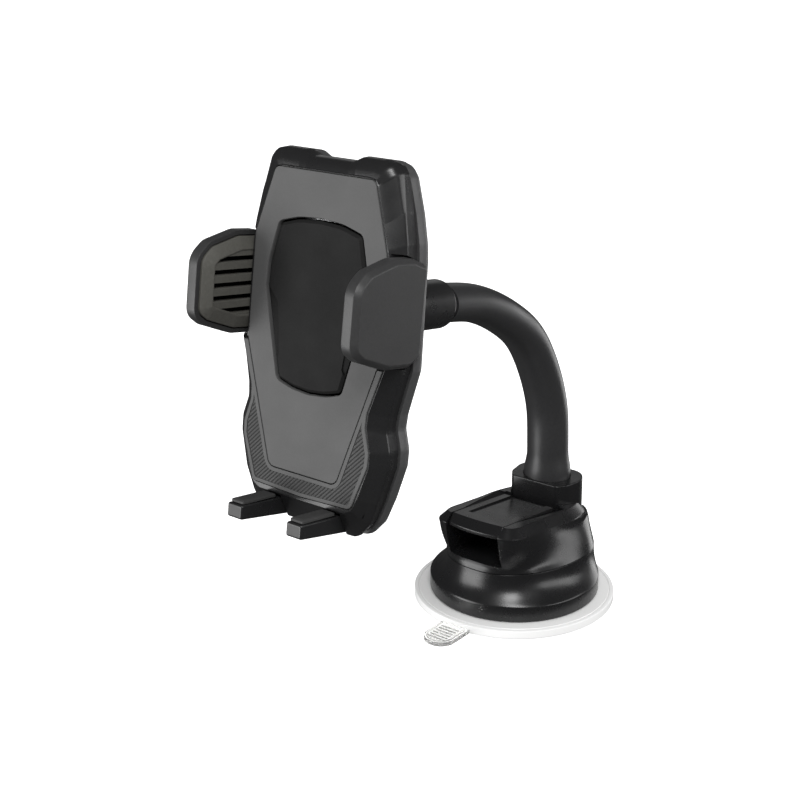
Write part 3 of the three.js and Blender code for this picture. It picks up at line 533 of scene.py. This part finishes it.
def tab():
    half = TAB_WIDTH / 2
    corners = [(-half, -39.4, 0), (half, -39.4, 0), (half, TAB_END, 6.2), (-half, TAB_END, 6.2)]
    plate = slab(corners, soft_section(0, 1.8, 0.4), along_z, 10)
    cut(plate, [rod(GEL_RADIUS + 0.05, along_z, -1, 5, sides=160)])
    border = slab(shift(corners, 0.9), [(0, 1.7), (0, 2.0), (0.25, 2.15)], along_z, 10)
    field = slab(shift(corners, 1.7), [(0, 1.0), (0, 3)], along_z, 10)
    cut(border, [field, rod(GEL_RADIUS + 1.4, along_z, -1, 5, sides=160)])
    ribs = [
        slab([(-4, y, 0.3), (4, y, 0.3), (4, y + 0.8, 0.3), (-4, y + 0.8, 0.3)],
             [(0, 1.7), (0, 2.0), (0.2, 2.15)], along_z, 3)
        for y in [TAB_RIB_START + TAB_RIB_PITCH * number for number in range(6)]
    ]
    return finished(merged([plate, border, *ribs]), "tab", BASE, "base", "clear_gel", ["pull_tab"])


RIM_RADIUS = 33.6
FLANK = [  # height, share of the way from the housing's foot out to the rim
    (9.6, 1), (10.0, 0.99), (10.25, 0.97), (10.5, 0.94), (11, 0.86), (11.6, 0.76), (12.4, 0.625),
    (13.4, 0.475), (14.6, 0.325), (15.8, 0.21), (17, 0.125), (18.2, 0.065), (19.4, 0.025),
    (20.4, 0.006), (20.95, 0), (BELL_TOP, -0.03),
]


def flank_ring(share, height, thinner=0.0):
    """The bell's plan outline: the housing's foot at a share of 0, a circle at a share of 1."""
    ring = []
    for point in smooth_loop(housing_ring(HOUSING_RINGS[0], lambda y: height), 7):
        reach = point.xy.length
        wide = RIM_RADIUS + 0.25 * max(0, point.y / reach)
        wanted = reach + (wide - reach) * share - thinner
        ring.append(Vector((point.x * wanted / reach, point.y * wanted / reach, height)))
    return ring


def bell():
    rim = [flank_ring(1, BELL_BOTTOM, 0.3), flank_ring(1, BELL_BOTTOM + 0.4)]
    outside = loft([*rim, *[flank_ring(share, height) for height, share in FLANK]])
    hollow = loft([
        flank_ring(1, BELL_BOTTOM - 1, 2.3), flank_ring(1, 9, 2.6), flank_ring(0.62, 12, 2.6),
        flank_ring(0.35, 14, 2.6), flank_ring(0.1, 16.8, 2.6),
    ])
    cut(outside, [hollow, rod(11, along_z, 10, 25)])
    return finished(outside, "bell", BASE, "base", "black_base", ["suction_bell"], sharp=50)


HOUSING_RINGS = [  # right halves from the front centre to the rear centre
    [(0, -28.6), (8, -27.6), (14.6, -24.2), (18.6, -20.2), (23.2, -13.5), (27.1, -2), (27.1, 15),
     (17.2, 28.3), (0, 33)],
    [(0, -28), (8.4, -27.4), (13.8, -25), (17.2, -21.2), (21.6, -13.5), (25.8, -2), (26.5, 14.8),
     (16.8, 28.1), (0, 33)],
    [(0, -28.4), (8.8, -28), (14.2, -26.4), (17.2, -22.2), (20.6, -13.6), (23.8, -2), (25.2, 14.4),
     (16.3, 27.8), (0, 33)],
    [(0, -29.4), (9.2, -29.2), (15.4, -27.4), (18.1, -23.6), (20.2, -13.8), (21.6, -2), (22.6, 14),
     (15.9, 27.6), (0, 32.9)],
    [(0, -30.2), (9.6, -30.1), (15.4, -29), (18.6, -24.8), (19.6, -14), (19.9, -2), (20, 14), (15.2, 27.6),
     (0, 32.6)],
    [(0, -26.2), (9, -26.2), (13.8, -25.6), (15.8, -22.6), (16.1, -13), (16.1, -2), (16.2, 13), (12.6, 26.6),
     (0, 31.8)],
]
CHAMFER_DROP = 3.4                # height of the sloping band round the housing's top


def top_plane(y, drop=0.0):
    return TOP_HEIGHT + TOP_SLOPE * y - drop


def housing_ring(half, height):
    left = [(-x, y) for x, y in half[-2:0:-1]]
    return [Vector((x, y, height(y))) for x, y in [*half, *left]]


def housing():
    heights = [
        lambda y: HOUSING_BOTTOM, lambda y: 23.4, lambda y: 27, lambda y: 31.6,
        lambda y: top_plane(y, CHAMFER_DROP), top_plane,
    ]
    controls = [housing_ring(half, height) for half, height in zip(HOUSING_RINGS, heights)]
    low, high = controls[-2:]
    columns = [smooth_path(list(column), 3) for column in zip(*controls[:-1])]
    rings = [list(ring) for ring in zip(*columns)][:-1]
    middle = Vector((0, 2, top_plane(2)))
    drop = Vector((0, 0, 0.25))
    rings.append([point - drop for point in low])
    for share in (0.03, 0.1, 0.9, 0.97):
        rings.append([a.lerp(b, share) for a, b in zip(low, high)])
    rings.append([point.lerp(middle, 0.004) for point in high])
    rings.append([point.lerp(middle, 0.02) for point in high])
    body = loft([smooth_loop(ring, 7) for ring in rings])
    groove = [
        loft([
            [Vector((side * x, y, top_plane(y, -1))) for x, y in ((11.2, -25), (11.2, 12), (16.2, 12))],
            [Vector((side * x, y, top_plane(y, drop))) for x, y, drop in
             ((11.2, -25, 0.5), (11.2, 12, 2.2), (16.2, 12, -0.05))],
        ]) for side in (-1, 1)
    ]
    tools = [
        block(-WELL_HALF, WELL_HALF, -40, WELL_REAR, HOUSING_FLOOR, 60),
        block(-13.2, 13.2, WELL_REAR - 1, COLLAR[0][1], 34.6, 60),
        prism(rounded(shift(COLLAR, -GAP)), along_z, COLLAR_BOTTOM - GAP, 60),
        rod(3.4, along_z, 15, 30), rod(PIN_RADIUS + GAP, along_x, -15.2, 15.2, LEVER_PIVOT), *groove,
    ]
    return finished(cut(body, tools), "housing", BASE, "base", "black_base", ["base_housing"], sharp=17)


def lever():
    corners = [
        (9.7, top_plane(9.7, 0.1), 0.3), (-26.2, top_plane(-26.2, 0.1), 0.8), (-29.7, 38.05, 0.5),
        (-29.6, 36.5, 0.5), (-27, 36.8, 2), (-10, 35.8, 0), (-2, 34.4, 0), (9.7, 33.2, 0.4),
    ]
    across = soft_section(-LEVER_HALF, LEVER_HALF, 0.25, 2)
    middle = [(0, x) for x in range(-10, 11, 2)]
    plate = slab(corners, [*across[:3], *middle, *across[3:]], along_x, 5)
    for vertex in plate.data.vertices:
        if vertex.co.y < -24:
            vertex.co.y += 1.5 * (vertex.co.x / LEVER_HALF) ** 2 * min(1, (-24 - vertex.co.y) / 4)
    recess = prism([(y, top_plane(y, drop)) for y, drop in ((-20, 0.7), (11, 0.9), (11, -9), (-20, -9))],
                   along_x, -8.5, 8.5)
    cheek = [
        (9.4, 34.5, 0), (-8, 35.6, 0), (-8, 31, 1), (-5, 26.4, 2), (1, 25.4, 3), (7, 27.6, 3), (9.4, 31, 2),
    ]
    cheeks = [slab(cheek, soft_section(x0, x1, 0.2, 2), along_x, 4) for x0, x1 in ((-7.6, -4.2), (4.2, 7.6))]
    slot = []
    for step in range(9):
        turn = LEVER_TRAVEL * step / 8
        y = -LEVER_PIVOT[0]
        z = STUD_PIN_HEIGHT - STUD_TRAVEL * step / 8 - LEVER_PIVOT[1]
        centre = (LEVER_PIVOT[0] + y * math.cos(turn) - z * math.sin(turn),
                  LEVER_PIVOT[1] + y * math.sin(turn) + z * math.cos(turn))
        slot.append(rod(1.5, along_x, -9, 9, centre, 20))
    bore = rod(PIN_RADIUS + GAP, along_x, -20, 20, LEVER_PIVOT)
    cut(join(plate, cheeks), [recess, *slot, bore])
    return finished(plate, "lever_plate", BASE, "lever", "black_base", ["lock_lever"])


def stretched(made, width, depth):
    """A round tool made oval, and put round the foot of the neck."""
    made.data.transform(Matrix.Translation((0, NECK_Y, 0)) @ Matrix.Diagonal((width, depth, 1, 1)))
    return made


def collar():
    section = [(0, COLLAR_BOTTOM), (0, 36), *reversed(soft_edge(COLLAR_TOP, 0.45, -1, 3))]
    socket = slab(COLLAR, section, along_z, 8)
    mouth = stretched(rod(1, along_z, 35.6, 60, sides=72), NECK_HALF_WIDTH + NECK_FLARE + 0.2,
                      NECK_HALF_ROOT + NECK_FLARE * 0.6 + 0.2)
    cut(socket, [mouth, rod(6.8, along_z, 20, 60, (0, NECK_Y))])
    return finished(socket, "collar", BASE, "base", "black_base", ["neck_collar"])


# ---------------------------------------------------------------- neck
def neck_sleeve():
    line = smooth_path([Vector((0, y, z)) for y, z in NECK_LINE], 12)
    line = [point for point in line if point.y > SLEEVE_END_Y - 0.2]
    across = Vector((1, 0, 0))
    rings = []
    run = 0
    whole = sum((b - a).length for a, b in zip(line, line[1:]))
    for index, centre in enumerate(line):
        ahead = line[min(index + 1, len(line) - 1)] - line[max(index - 1, 0)]
        out = ahead.normalized().cross(across)
        run += (centre - line[index - 1]).length if index else 0
        rise = max(0, min(1, (centre.z - COLLAR_TOP - 1) / 9))
        flare = NECK_FLARE * (1 - rise * rise * (3 - 2 * rise))
        depth = NECK_HALF_ROOT + (NECK_HALF_TIP - NECK_HALF_ROOT) * min(1, run / whole * 1.15)
        rings.append((centre, out, NECK_HALF_WIDTH + flare, depth + flare * 0.6))
    first, last = [
        (centre, out, width - SLEEVE_BEVEL, depth - SLEEVE_BEVEL)
        for centre, out, width, depth in (rings[0], rings[-1])
    ]
    rings = [first, *rings, last]
    turns = [2 * math.pi * side / SLEEVE_SIDES for side in range(SLEEVE_SIDES)]
    tube = loft([
        [centre + across * width * math.cos(a) + out * depth * math.sin(a) for a in turns]
        for centre, out, width, depth in rings
    ])
    stretches = ["neck_sleeve_lower", "neck_sleeve_upper"]
    made = finished(tube, "neck_sleeve", BASE, None, "neck_rubber", stretches)
    made.modifiers.clear()
    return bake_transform(made)


def ferrule():
    section = [
        (3.7, 40.9), (5.4, 40.6), (6.2, 41.0), (7.4, 42.3), (8.1, 44.0), (8.5, 46.5), (8.7, 50),
        (8.7, 65.0), (8.55, 65.7), (8.1, 66.1), (3.7, 66.1), (3.7, 53),
    ]
    return finished(turned(section, along_y, wrap=True), "ferrule", CRADLE, "neck_head", "casing",
                    ["neck_ferrule"])


def nut():
    grips = 12
    sides = 144

    def ring(radius, depth, groove):
        points = []
        for side in range(sides):
            angle = 2 * math.pi * side / sides
            dip = max(0, math.cos(angle * grips)) ** 1.5
            points.append(along_y((radius - groove * dip) * math.cos(angle),
                                  (radius - groove * dip) * math.sin(angle), depth))
        return points

    rings = [
        ring(13.5, 18.4, 0), ring(14.9, 18.2, 0.4), ring(15.4, 18.6, 1.0), ring(15.5, 19.2, 1.1),
        ring(15.5, 30.8, 1.1), ring(15.2, 31.8, 1.0), ring(14.3, 33.2, 0.5), ring(13.2, 34.1, 0.1),
        ring(12.6, 34.3, 0), ring(8.4, 34.3, 0), ring(7.8, 33.8, 0), ring(7.8, 32.9, 0), ring(10.9, 32.9, 0),
        ring(10.9, 27, 0), ring(13.5, 27, 0),
    ]
    return finished(loft(rings, wrap=True), "nut", CRADLE, "nut", "casing", ["clamp_nut"])


# ---------------------------------------------------------------- cradle casing
LIP = mirrored(LIP_HALF)
RIM = mirrored(RIM_HALF)
REAR_RIM = mirrored([*REAR_TOP, *RIM_HALF[len(REAR_TOP):]])
FACE = mirrored(FACE_HALF)
PLATE = mirrored(PLATE_HALF)
PANEL = mirrored(PANEL_HALF)
PANEL_GAP = 0.7


def notches(wall):
    """The arms' pockets, with a wall of their own where it is asked for."""
    outline = rounded(shift(ARM, -0.6 - wall), 5)
    return [
        prism(outline, along_x, NOTCH_X - wall, 60), flipped(prism(outline, along_x, NOTCH_X - wall, 60)),
    ]


def casing_front():
    def depth(share, z):
        flat = 0.6 + (5.0 if z < -60 else 4.0) * share
        crown = max(0, min(1, (z - 44) / 5))
        round_top = 0.6 + 5.6 * (1 - math.sqrt(max(0, 1 - share * share)))
        return flat + (round_top - flat) * crown

    rings = []
    for share, inset, back in ((0, 0.5, -0.2), (0, 0.15, -0.14), (0.03, 0, 0.1), (0.25, 0, 0), (0.5, 0, 0),
                               (0.75, 0, 0), (0.88, 0, 0), (0.96, 0, 0.02), (1, 0.02, 0.2), (1, 0, 0.6)):
        points = rounded(shift(mixed(LIP, RIM, share), inset))
        rings.append([along_y(x, z, min(7.0, depth(share, z) + back)) for x, z in points])
    rings.append([along_y(*point, FRONT_SHELL_REAR - 0.3) for point in rounded(RIM)])
    rings.append([along_y(*point, FRONT_SHELL_REAR) for point in rounded(shift(RIM, 0.3))])
    outside = loft(rings)
    wall = prism([(0, -56), (2.2, -58.6), (7.4, -67), (7.4, -70), (0, -70)], along_x, -27, 27)
    inside = cut(prism(rounded(shift(RIM, WALL)), along_y, FLOOR_REAR, 20), [wall, *notches(WALL)])
    recess = prism(rounded(shift(FACE, -GAP)), along_y, -5, FLOOR_FRONT)
    window = prism(rounded(shift(PANEL, -PANEL_GAP)), along_y, -1, 20)
    blades = [
        block(24, 34, RACK_FRONT - GAP, 20, RACK_LINE - 5.1, RACK_LINE + 1.3),
        block(-34, -24, RACK_FRONT - GAP, 20, 2 * PINION_Z - RACK_LINE - 1.3, 2 * PINION_Z - RACK_LINE + 5.1),
    ]
    feet = [
        block(FOOT_INNER - 0.4, FOOT_OUTER + 0.4, -1, 11, -80, -60.6),
        block(-FOOT_OUTER - 0.4, -FOOT_INNER + 0.4, -1, 11, -80, -60.6),
        block(-16.8, 16.8, FRONT_SHELL_REAR - 0.4, 12, -80, -60),
    ]
    cut(outside, [recess, inside, window, *notches(0), *blades, *feet])
    return finished(outside, "casing_front", CRADLE, "cradle", "casing", ["front_shell"], sharp=30)


def casing_band():
    body = slab(shift(RIM, 0.8), soft_section(*BAND, 0.2, 2), along_y)
    inside = cut(prism(rounded(shift(RIM, 0.8 + WALL)), along_y, 0, 20), notches(WALL))
    cut(body, [inside, *notches(0), block(-17.2, 17.2, 0, 20, -80, -60)])
    return finished(body, "casing_band", CRADLE, "cradle", "casing", ["mid_band"])


def casing_rear():
    section = [
        (0.3, REAR_SHELL_FRONT), (0.08, REAR_SHELL_FRONT + 0.1), (0, REAR_SHELL_FRONT + 0.4), (-0.3, 12),
        (-0.4, 13.2), (-0.2, 14.3), (0.4, 15.4), (1.3, 16.3), (2.4, 16.95), (3.6, 17.35), (5, BACK),
    ]
    body = slab(REAR_RIM, section, along_y)
    inside = cut(prism(rounded(shift(REAR_RIM, WALL + 0.4)), along_y, 5, BACK_WALL), notches(WALL))
    cut(body, [inside, *notches(0)])
    posts = [rod(2.6, along_y, 7.8, BACK_WALL + 0.5, spot, 20) for spot in SHELL_SCREWS]
    join(body, [
        rod(13.1, along_y, BACK - 0.3, 25.5, sides=64),
        rod(3.6, along_y, 7.6, BACK_WALL + 0.5, (0, PINION_Z)),
        rod(2.4, along_y, 7.6, BACK_WALL + 0.5, LATCH_PIVOT, 20), *posts,
    ])
    cut(body, [
        rod(10.9, along_y, 16.6, 40, sides=64), rod(PIN_RADIUS + 0.05, along_y, 0, 14.4, (0, PINION_Z)),
        rod(1.05, along_y, 0, 13.2, LATCH_PIVOT, 20), block(-17.2, 17.2, 5, 10.7, -80, -60),
        *(rod(1.5, along_y, 0, 30, spot, 20) for spot in SHELL_SCREWS),
        *(rod(2.9, along_y, 15.6, 30, spot, 32) for spot in SHELL_SCREWS),
    ])
    return finished(body, "casing_rear", CRADLE, "cradle", "back_casing", ["rear_shell"], sharp=30)


def screw(number, spot):
    """A countersunk screw with a cross recess."""
    x, z = spot
    body = turned([
        (0.9, 3.6), (0.9, 15.5), (2.4, 15.9), (2.4, 16.9), (2.0, 17.2), (1.2, 17.35),
    ], along_y, spot, 32)
    cut(body, [block(x - 1.4, x + 1.4, 16.6, 18, z - 0.28, z + 0.28),
               block(x - 0.28, x + 0.28, 16.6, 18, z - 1.4, z + 1.4)])
    return finished(body, f"casing_screw_{number}", CRADLE, "cradle", "steel", [f"shell_screw_{number}"])


# ---------------------------------------------------------------- face of the cradle
def window_tool():
    opening = shift(PANEL, -PANEL_GAP)
    return slab(opening, [(-0.45, -0.3), (-0.2, 0.05), (0, 0.4), (0, 5)], along_y)


FRONT_EDGE = [(0.28, 0), (0.08, 0.06), (0, 0.28), (0, 1.6)]


def plate():
    body = cut(slab(PLATE, FRONT_EDGE, along_y), [window_tool()])
    return finished(body, "plate", CRADLE, "cradle", "plate_grey", ["face_plate"])


RIB_BORDER = 1.25
RIB_PITCH = 1.05
RIB_HALF = 0.33
RIB_DEPTH = 0.3
RIB_TOP = -29                     # the ribbed field ends here
TRIM_TOP = -11.6


def crossings(outline, origin, along):
    """Where a line meets a closed outline, as distances along the line, in order."""
    across = Vector((-along.y, along.x))
    found = []
    for _, a, b in neighbours(outline):
        from_a = (a - origin).dot(across)
        from_b = (b - origin).dot(across)
        if (from_a > 0) != (from_b > 0):
            hit = a.lerp(b, from_a / (from_a - from_b))
            found.append((hit - origin).dot(along))
    return sorted(found)


def inside_spans(line_in, line_out):
    """The spans inside one outline and outside another."""
    spans = []
    for low, high in zip(line_in[::2], line_in[1::2]):
        edges = [low, *(at for at in line_out if low < at < high), high]
        outside = sum(at <= low for at in line_out) % 2 == 0
        for a, b in zip(edges, edges[1:]):
            if outside:
                spans.append((a, b))
            outside = not outside
    return spans


def trim():
    body = slab(FACE, FRONT_EDGE, along_y)
    cut(body, [prism(rounded(shift(PLATE, -0.35)), along_y, -2, 5), block(-40, 40, -2, 5, TRIM_TOP, 60)])
    outer = shift(FACE, RIB_BORDER)
    inner = shift(PLATE, -RIB_BORDER - 0.35)
    field = cut(prism(rounded(outer), along_y, -2, RIB_DEPTH),
                [prism(rounded(inner), along_y, -3, 3), block(-40, 40, -3, 3, RIB_TOP, 60)])
    cut(body, [field])
    finished(body, "trim", CRADLE, "cradle", "plate_grey", ["lower_trim"])
    # painted shade: a dark sheet on the ribbed field's floor, for the shadow in the grooves between the ribs
    gap_shade = cut(prism(rounded(shift(outer, 0.1)), along_y, RIB_DEPTH - 0.03, RIB_DEPTH + 0.1),
                 [prism(rounded(shift(inner, -0.1)), along_y, -3, 3),
                  block(-40, 40, -3, 3, RIB_TOP - 0.1, 60)])
    finished(gap_shade, "rib_gap_shade", CRADLE, "cradle", "black_rubber")

    along = Vector((1, 1)).normalized()
    across = Vector((-along.y, along.x))
    edge_in = rounded(shift(outer, 0.12))
    edge_out = rounded(shift(inner, -0.12))
    vertices = []
    faces = []
    for number in range(-60, 61):
        origin = Vector((0, -50)) + across * number * RIB_PITCH
        for low, high in inside_spans(crossings(edge_in, origin, along), crossings(edge_out, origin, along)):
            start, end = origin + along * low, origin + along * high
            if high - low < 0.9 or max(start.y, end.y) > RIB_TOP - 0.4:
                continue
            first = len(vertices)
            for point in (start, end):
                for side, depth in ((-RIB_HALF, RIB_DEPTH + 0.05), (0, 0.02), (RIB_HALF, RIB_DEPTH + 0.05)):
                    vertices.append(along_y(*(point + across * side), depth))
            faces += [tuple(first + i for i in face) for face in
                      ((0, 2, 1), (3, 4, 5), (0, 1, 4, 3), (1, 2, 5, 4), (2, 0, 3, 5))]
    return finished(shape(vertices, faces), "trim_ribs", CRADLE, "cradle", "rib_grey", sharp=20)


def panel():
    section = [(1.15, -0.1), (0.95, -0.06), (0.8, 0.06), (0.1, 0.62), (0, 0.8), (0, 2.3)]
    body = slab(PANEL, section, along_y, 8)
    scoops = []
    for side in (-1, 1):
        half = [(26, 12), (18.6, 6.6), (15.2, 2.6), (13.2, -14.2), (15.0, -17.5), (22, -19)]
        front = [(side * x, z) for x, z in half]
        floor = [1.9, 1.0, 0.25, 0.25, 1.0, 1.9]
        scoops.append(loft([
            [Vector((x, -2, z)) for x, z in front], [Vector((x, y, z)) for (x, z), y in zip(front, floor)],
        ]))
    join(body, [block(14.8, 16.4, 2.2, 4.4, 23.5, 26)])
    cut(body, scoops)
    return finished(body, "touch_panel", CRADLE, "trigger", "panel_dark", ["centre_panel"], sharp=20)


# ---------------------------------------------------------------- arms and feet
def arm_cap():
    section = [
        (0.4, 30.2), (0.1, 30.35), (0, 30.7), (0, 33.6),
        (0.12, 33.95), (1.3, 35.15), (1.55, 35.4), (1.9, 35.5),
    ]
    body = slab(ARM, section, along_x, 8)
    return cut(body, [slab(ARM, [(1.6, 20), (1.6, 33.6)], along_x, 8)])


PAD_FRAME = 6                     # width of the pad's sloping frame, from the arm's outline
SLOT_LOW = -6.7
SLOT_PITCH = 4.2


def arm_pad():
    section = [(2, 31.1), (2, 29.8), (2.25, 29.5), (5.6, 28.35), (5.8, 28.22), (PAD_FRAME, 28.2)]
    body = slab(ARM, section, along_x, 8)
    field = slab(ARM, [(PAD_FRAME + 0.1, 27), (PAD_FRAME + 0.2, 28.3), (PAD_FRAME + 0.5, 28.5)], along_x, 6)
    slots = []
    for number in range(7):
        z = SLOT_LOW + number * SLOT_PITCH
        slot = prism([(28, z - 0.6), (28.95, z), (40, z), (40, z + 1.7), (28, z + 1.7)], along_y, -30, 4)
        slots.append(combine(slot, [slab(ARM, [(PAD_FRAME + 0.5, 20), (PAD_FRAME + 0.5, 45)], along_x, 6)],
                             "INTERSECT"))
    cut(body, [field, block(20, 40, 3.2, 20, -40, 60)])
    return cut(body, slots)


def slot_shade_sheet():
    """A near-black sheet behind the pad's slots: painted shade, standing in for the shadow deep inside the slots.
    """
    return cut(slab(ARM, [(5, 31.15), (5, 31.3)], along_x, 6), [block(20, 40, 3.2, 20, -40, 60)])


def foot():
    corners = [(-16.7, -66.2, 0.9), (-16.7, -61.4, 0.7), (9.8, -61.8, 0), (9.8, -68.2, 0), (5.3, -67.9, 1)]
    return slab(corners, soft_section(FOOT_INNER, FOOT_OUTER, 0.6), along_x, 4)


def feet_bracket():
    carriage = block(-16.2, 16.2, 8.1, 9.9, -66.4, -34)
    body = join(carriage, [foot(), flipped(foot())])
    inner, outer = FOOT_INNER + 0.75, FOOT_OUTER - 0.75
    corners = [(inner, -65.5, 0.5), (outer, -65.5, 0.5), (outer, -62.1, 0.5), (inner, -62.1, 0.5)]
    cap = slab(corners, [(0.15, -16.78), (0, -16.7), (0, -16)], along_y, 3)
    caps = [cap, flipped(slab(corners, [(0.15, -16.78), (0, -16.7), (0, -16)], along_y, 3))]
    finished(merged(caps), "feet_ends", CRADLE, "feet", "plate_grey")
    return finished(body, "feet_bracket", CRADLE, "feet", "casing", ["foot_bracket"])


def foot_pad():
    inner, outer = FOOT_INNER + 0.5, FOOT_OUTER - 0.5
    corners = [(inner, -15.6, 0.5), (outer, -15.6, 0.5), (outer, -0.3, 0.2), (inner, -0.3, 0.2)]
    return slab(corners, [(0, -61.2), (0, -60.55), (0.15, -60.35), (0.7, -60.05), (0.95, -60)], along_z, 4)


def build():
    gel_disc()
    tab()
    bell()
    housing()
    lever()
    collar()
    neck_sleeve()
    ferrule()
    nut()
    casing_front()
    casing_band()
    casing_rear()
    for number, spot in enumerate(SHELL_SCREWS, 1):
        screw(number, spot)
    plate()
    trim()
    panel()
    for side, turn in (("right", lambda made: made), ("left", flipped)):
        finished(turn(arm_cap()), f"arm_cap_{side}", CRADLE, f"{side}_arm", "arm_shell", [f"{side}_arm_cap"])
        finished(turn(arm_pad()), f"arm_pad_{side}", CRADLE, f"{side}_arm", "arm_pad", [f"{side}_arm_pad"])
        finished(turn(foot_pad()), f"foot_pad_{side}", CRADLE, "feet", "black_rubber", [f"{side}_foot_pad"])
        # the sheet behind each pad's slots is painted shade
        finished(turn(slot_shade_sheet()), f"slot_shade_sheet_{side}", CRADLE, f"{side}_arm", "painted_slot_shade")
    feet_bracket()
    for entry in frame["record"]["subparts"]:
        node = frame["nodes"][entry["node"]]
        node.data.materials.clear()
        node.data.materials.append(LOOKS[entry["material_slot"]])


# ---------------------------------------------------------------- camera, light and floor
CAMERA_AT = (0.3096, -0.4649, 0.2824)
CAMERA_AZIMUTH = math.radians(38.30)
CAMERA_ELEVATION = math.radians(19.73)
CAMERA_ROLL = math.radians(-0.51)
CAMERA_LENS = 69.0
REFLECTED_FILL = 0.05
DIFFUSE_FILL = 0.48
WHOLE = (0, -0.05, 0.1)           # where the lights on the whole mount are aimed
SUCTION_BASE = (0, 0, 0.06)


def add_camera():
    look = Vector((-math.sin(CAMERA_AZIMUTH) * math.cos(CAMERA_ELEVATION),
                   math.cos(CAMERA_AZIMUTH) * math.cos(CAMERA_ELEVATION), -math.sin(CAMERA_ELEVATION)))
    right = Vector((math.cos(CAMERA_AZIMUTH), math.sin(CAMERA_AZIMUTH), 0))
    up = right.cross(look)
    turned_right = right * math.cos(CAMERA_ROLL) + up * math.sin(CAMERA_ROLL)
    turned_up = up * math.cos(CAMERA_ROLL) - right * math.sin(CAMERA_ROLL)
    camera = bpy.data.objects.new("camera", bpy.data.cameras.new("camera"))
    camera.data.lens = CAMERA_LENS
    camera.data.sensor_width = 36
    turn = Matrix((turned_right, turned_up, -look)).transposed().to_4x4()
    camera.matrix_world = Matrix.Translation(CAMERA_AT) @ turn
    bpy.context.scene.collection.objects.link(camera)
    bpy.context.scene.camera = camera


def add_light(name, place, target, size, power):
    light = bpy.data.lights.new(name, "AREA")
    light.shape = "RECTANGLE"
    light.size, light.size_y = size
    light.energy = power
    holder = bpy.data.objects.new(name, light)
    aim = Vector(target) - Vector(place)
    holder.location = place
    holder.visible_camera = False
    holder.rotation_euler = aim.to_track_quat("-Z", "Y").to_euler()
    bpy.context.scene.collection.objects.link(holder)


def add_floor():
    """A white sweep, bright enough in the camera's view to take no shadow."""
    half = 3
    floor = shape([(-half, -half, 0), (half, -half, 0), (half, half, 0), (-half, half, 0)], [(0, 1, 2, 3)])
    floor.name = "floor"
    floor.location.z = cad_box[0].z - 0.0005
    material = bpy.data.materials.new("floor")
    material.use_nodes = True
    shader = material.node_tree.nodes["Principled BSDF"]
    shader.inputs["Base Color"].default_value = (0.9, 0.9, 0.9, 1)
    shader.inputs["Roughness"].default_value = 0.9
    shader.inputs["Specular IOR Level"].default_value = 0.1
    shader.inputs["Emission Color"].default_value = (1, 1, 1, 1)
    shader.inputs["Emission Strength"].default_value = 0.9
    floor.data.materials.append(material)
    floor.visible_glossy = False
    floor.visible_diffuse = False
    floor.visible_shadow = False


def add_world():
    """White to the camera, soft fill on matt plastic, and dim in reflections so that black stays black."""
    world = bpy.data.worlds.new("world")
    bpy.context.scene.world = world
    world.use_nodes = True
    nodes = world.node_tree.nodes
    links = world.node_tree.links
    background = nodes["Background"]
    rays = nodes.new("ShaderNodeLightPath")
    fill = nodes.new("ShaderNodeMapRange")
    fill.inputs["To Min"].default_value = REFLECTED_FILL
    fill.inputs["To Max"].default_value = DIFFUSE_FILL
    links.new(rays.outputs["Is Diffuse Ray"], fill.inputs["Value"])
    seen = nodes.new("ShaderNodeMath")
    seen.operation = "MAXIMUM"
    links.new(rays.outputs["Is Camera Ray"], seen.inputs[0])
    links.new(fill.outputs["Result"], seen.inputs[1])
    links.new(seen.outputs["Value"], background.inputs["Strength"])
    background.inputs["Color"].default_value = (1, 1, 1, 1)


add_camera()
build()
add_light("key_softbox", (-0.6, -1.0, 0.0), WHOLE, (0.55, 0.9), 9)
add_light("upper_softbox", (0.55, -0.75, 1.0), WHOLE, (0.5, 0.5), 10)
add_light("right_softbox", (1.0, 0.3, 0.42), SUCTION_BASE, (1.1, 0.4), 5)
add_light("rear_softbox", (0.2, 1.1, -0.05), SUCTION_BASE, (0.5, 0.6), 2.2)
add_light("rear_left_softbox", (-0.65, 0.9, 0.4), SUCTION_BASE, (0.5, 0.4), 0.25)
add_floor()
add_world()
bpy.context.scene.view_settings.view_transform = "Standard"

bpy.context.view_layer.update()
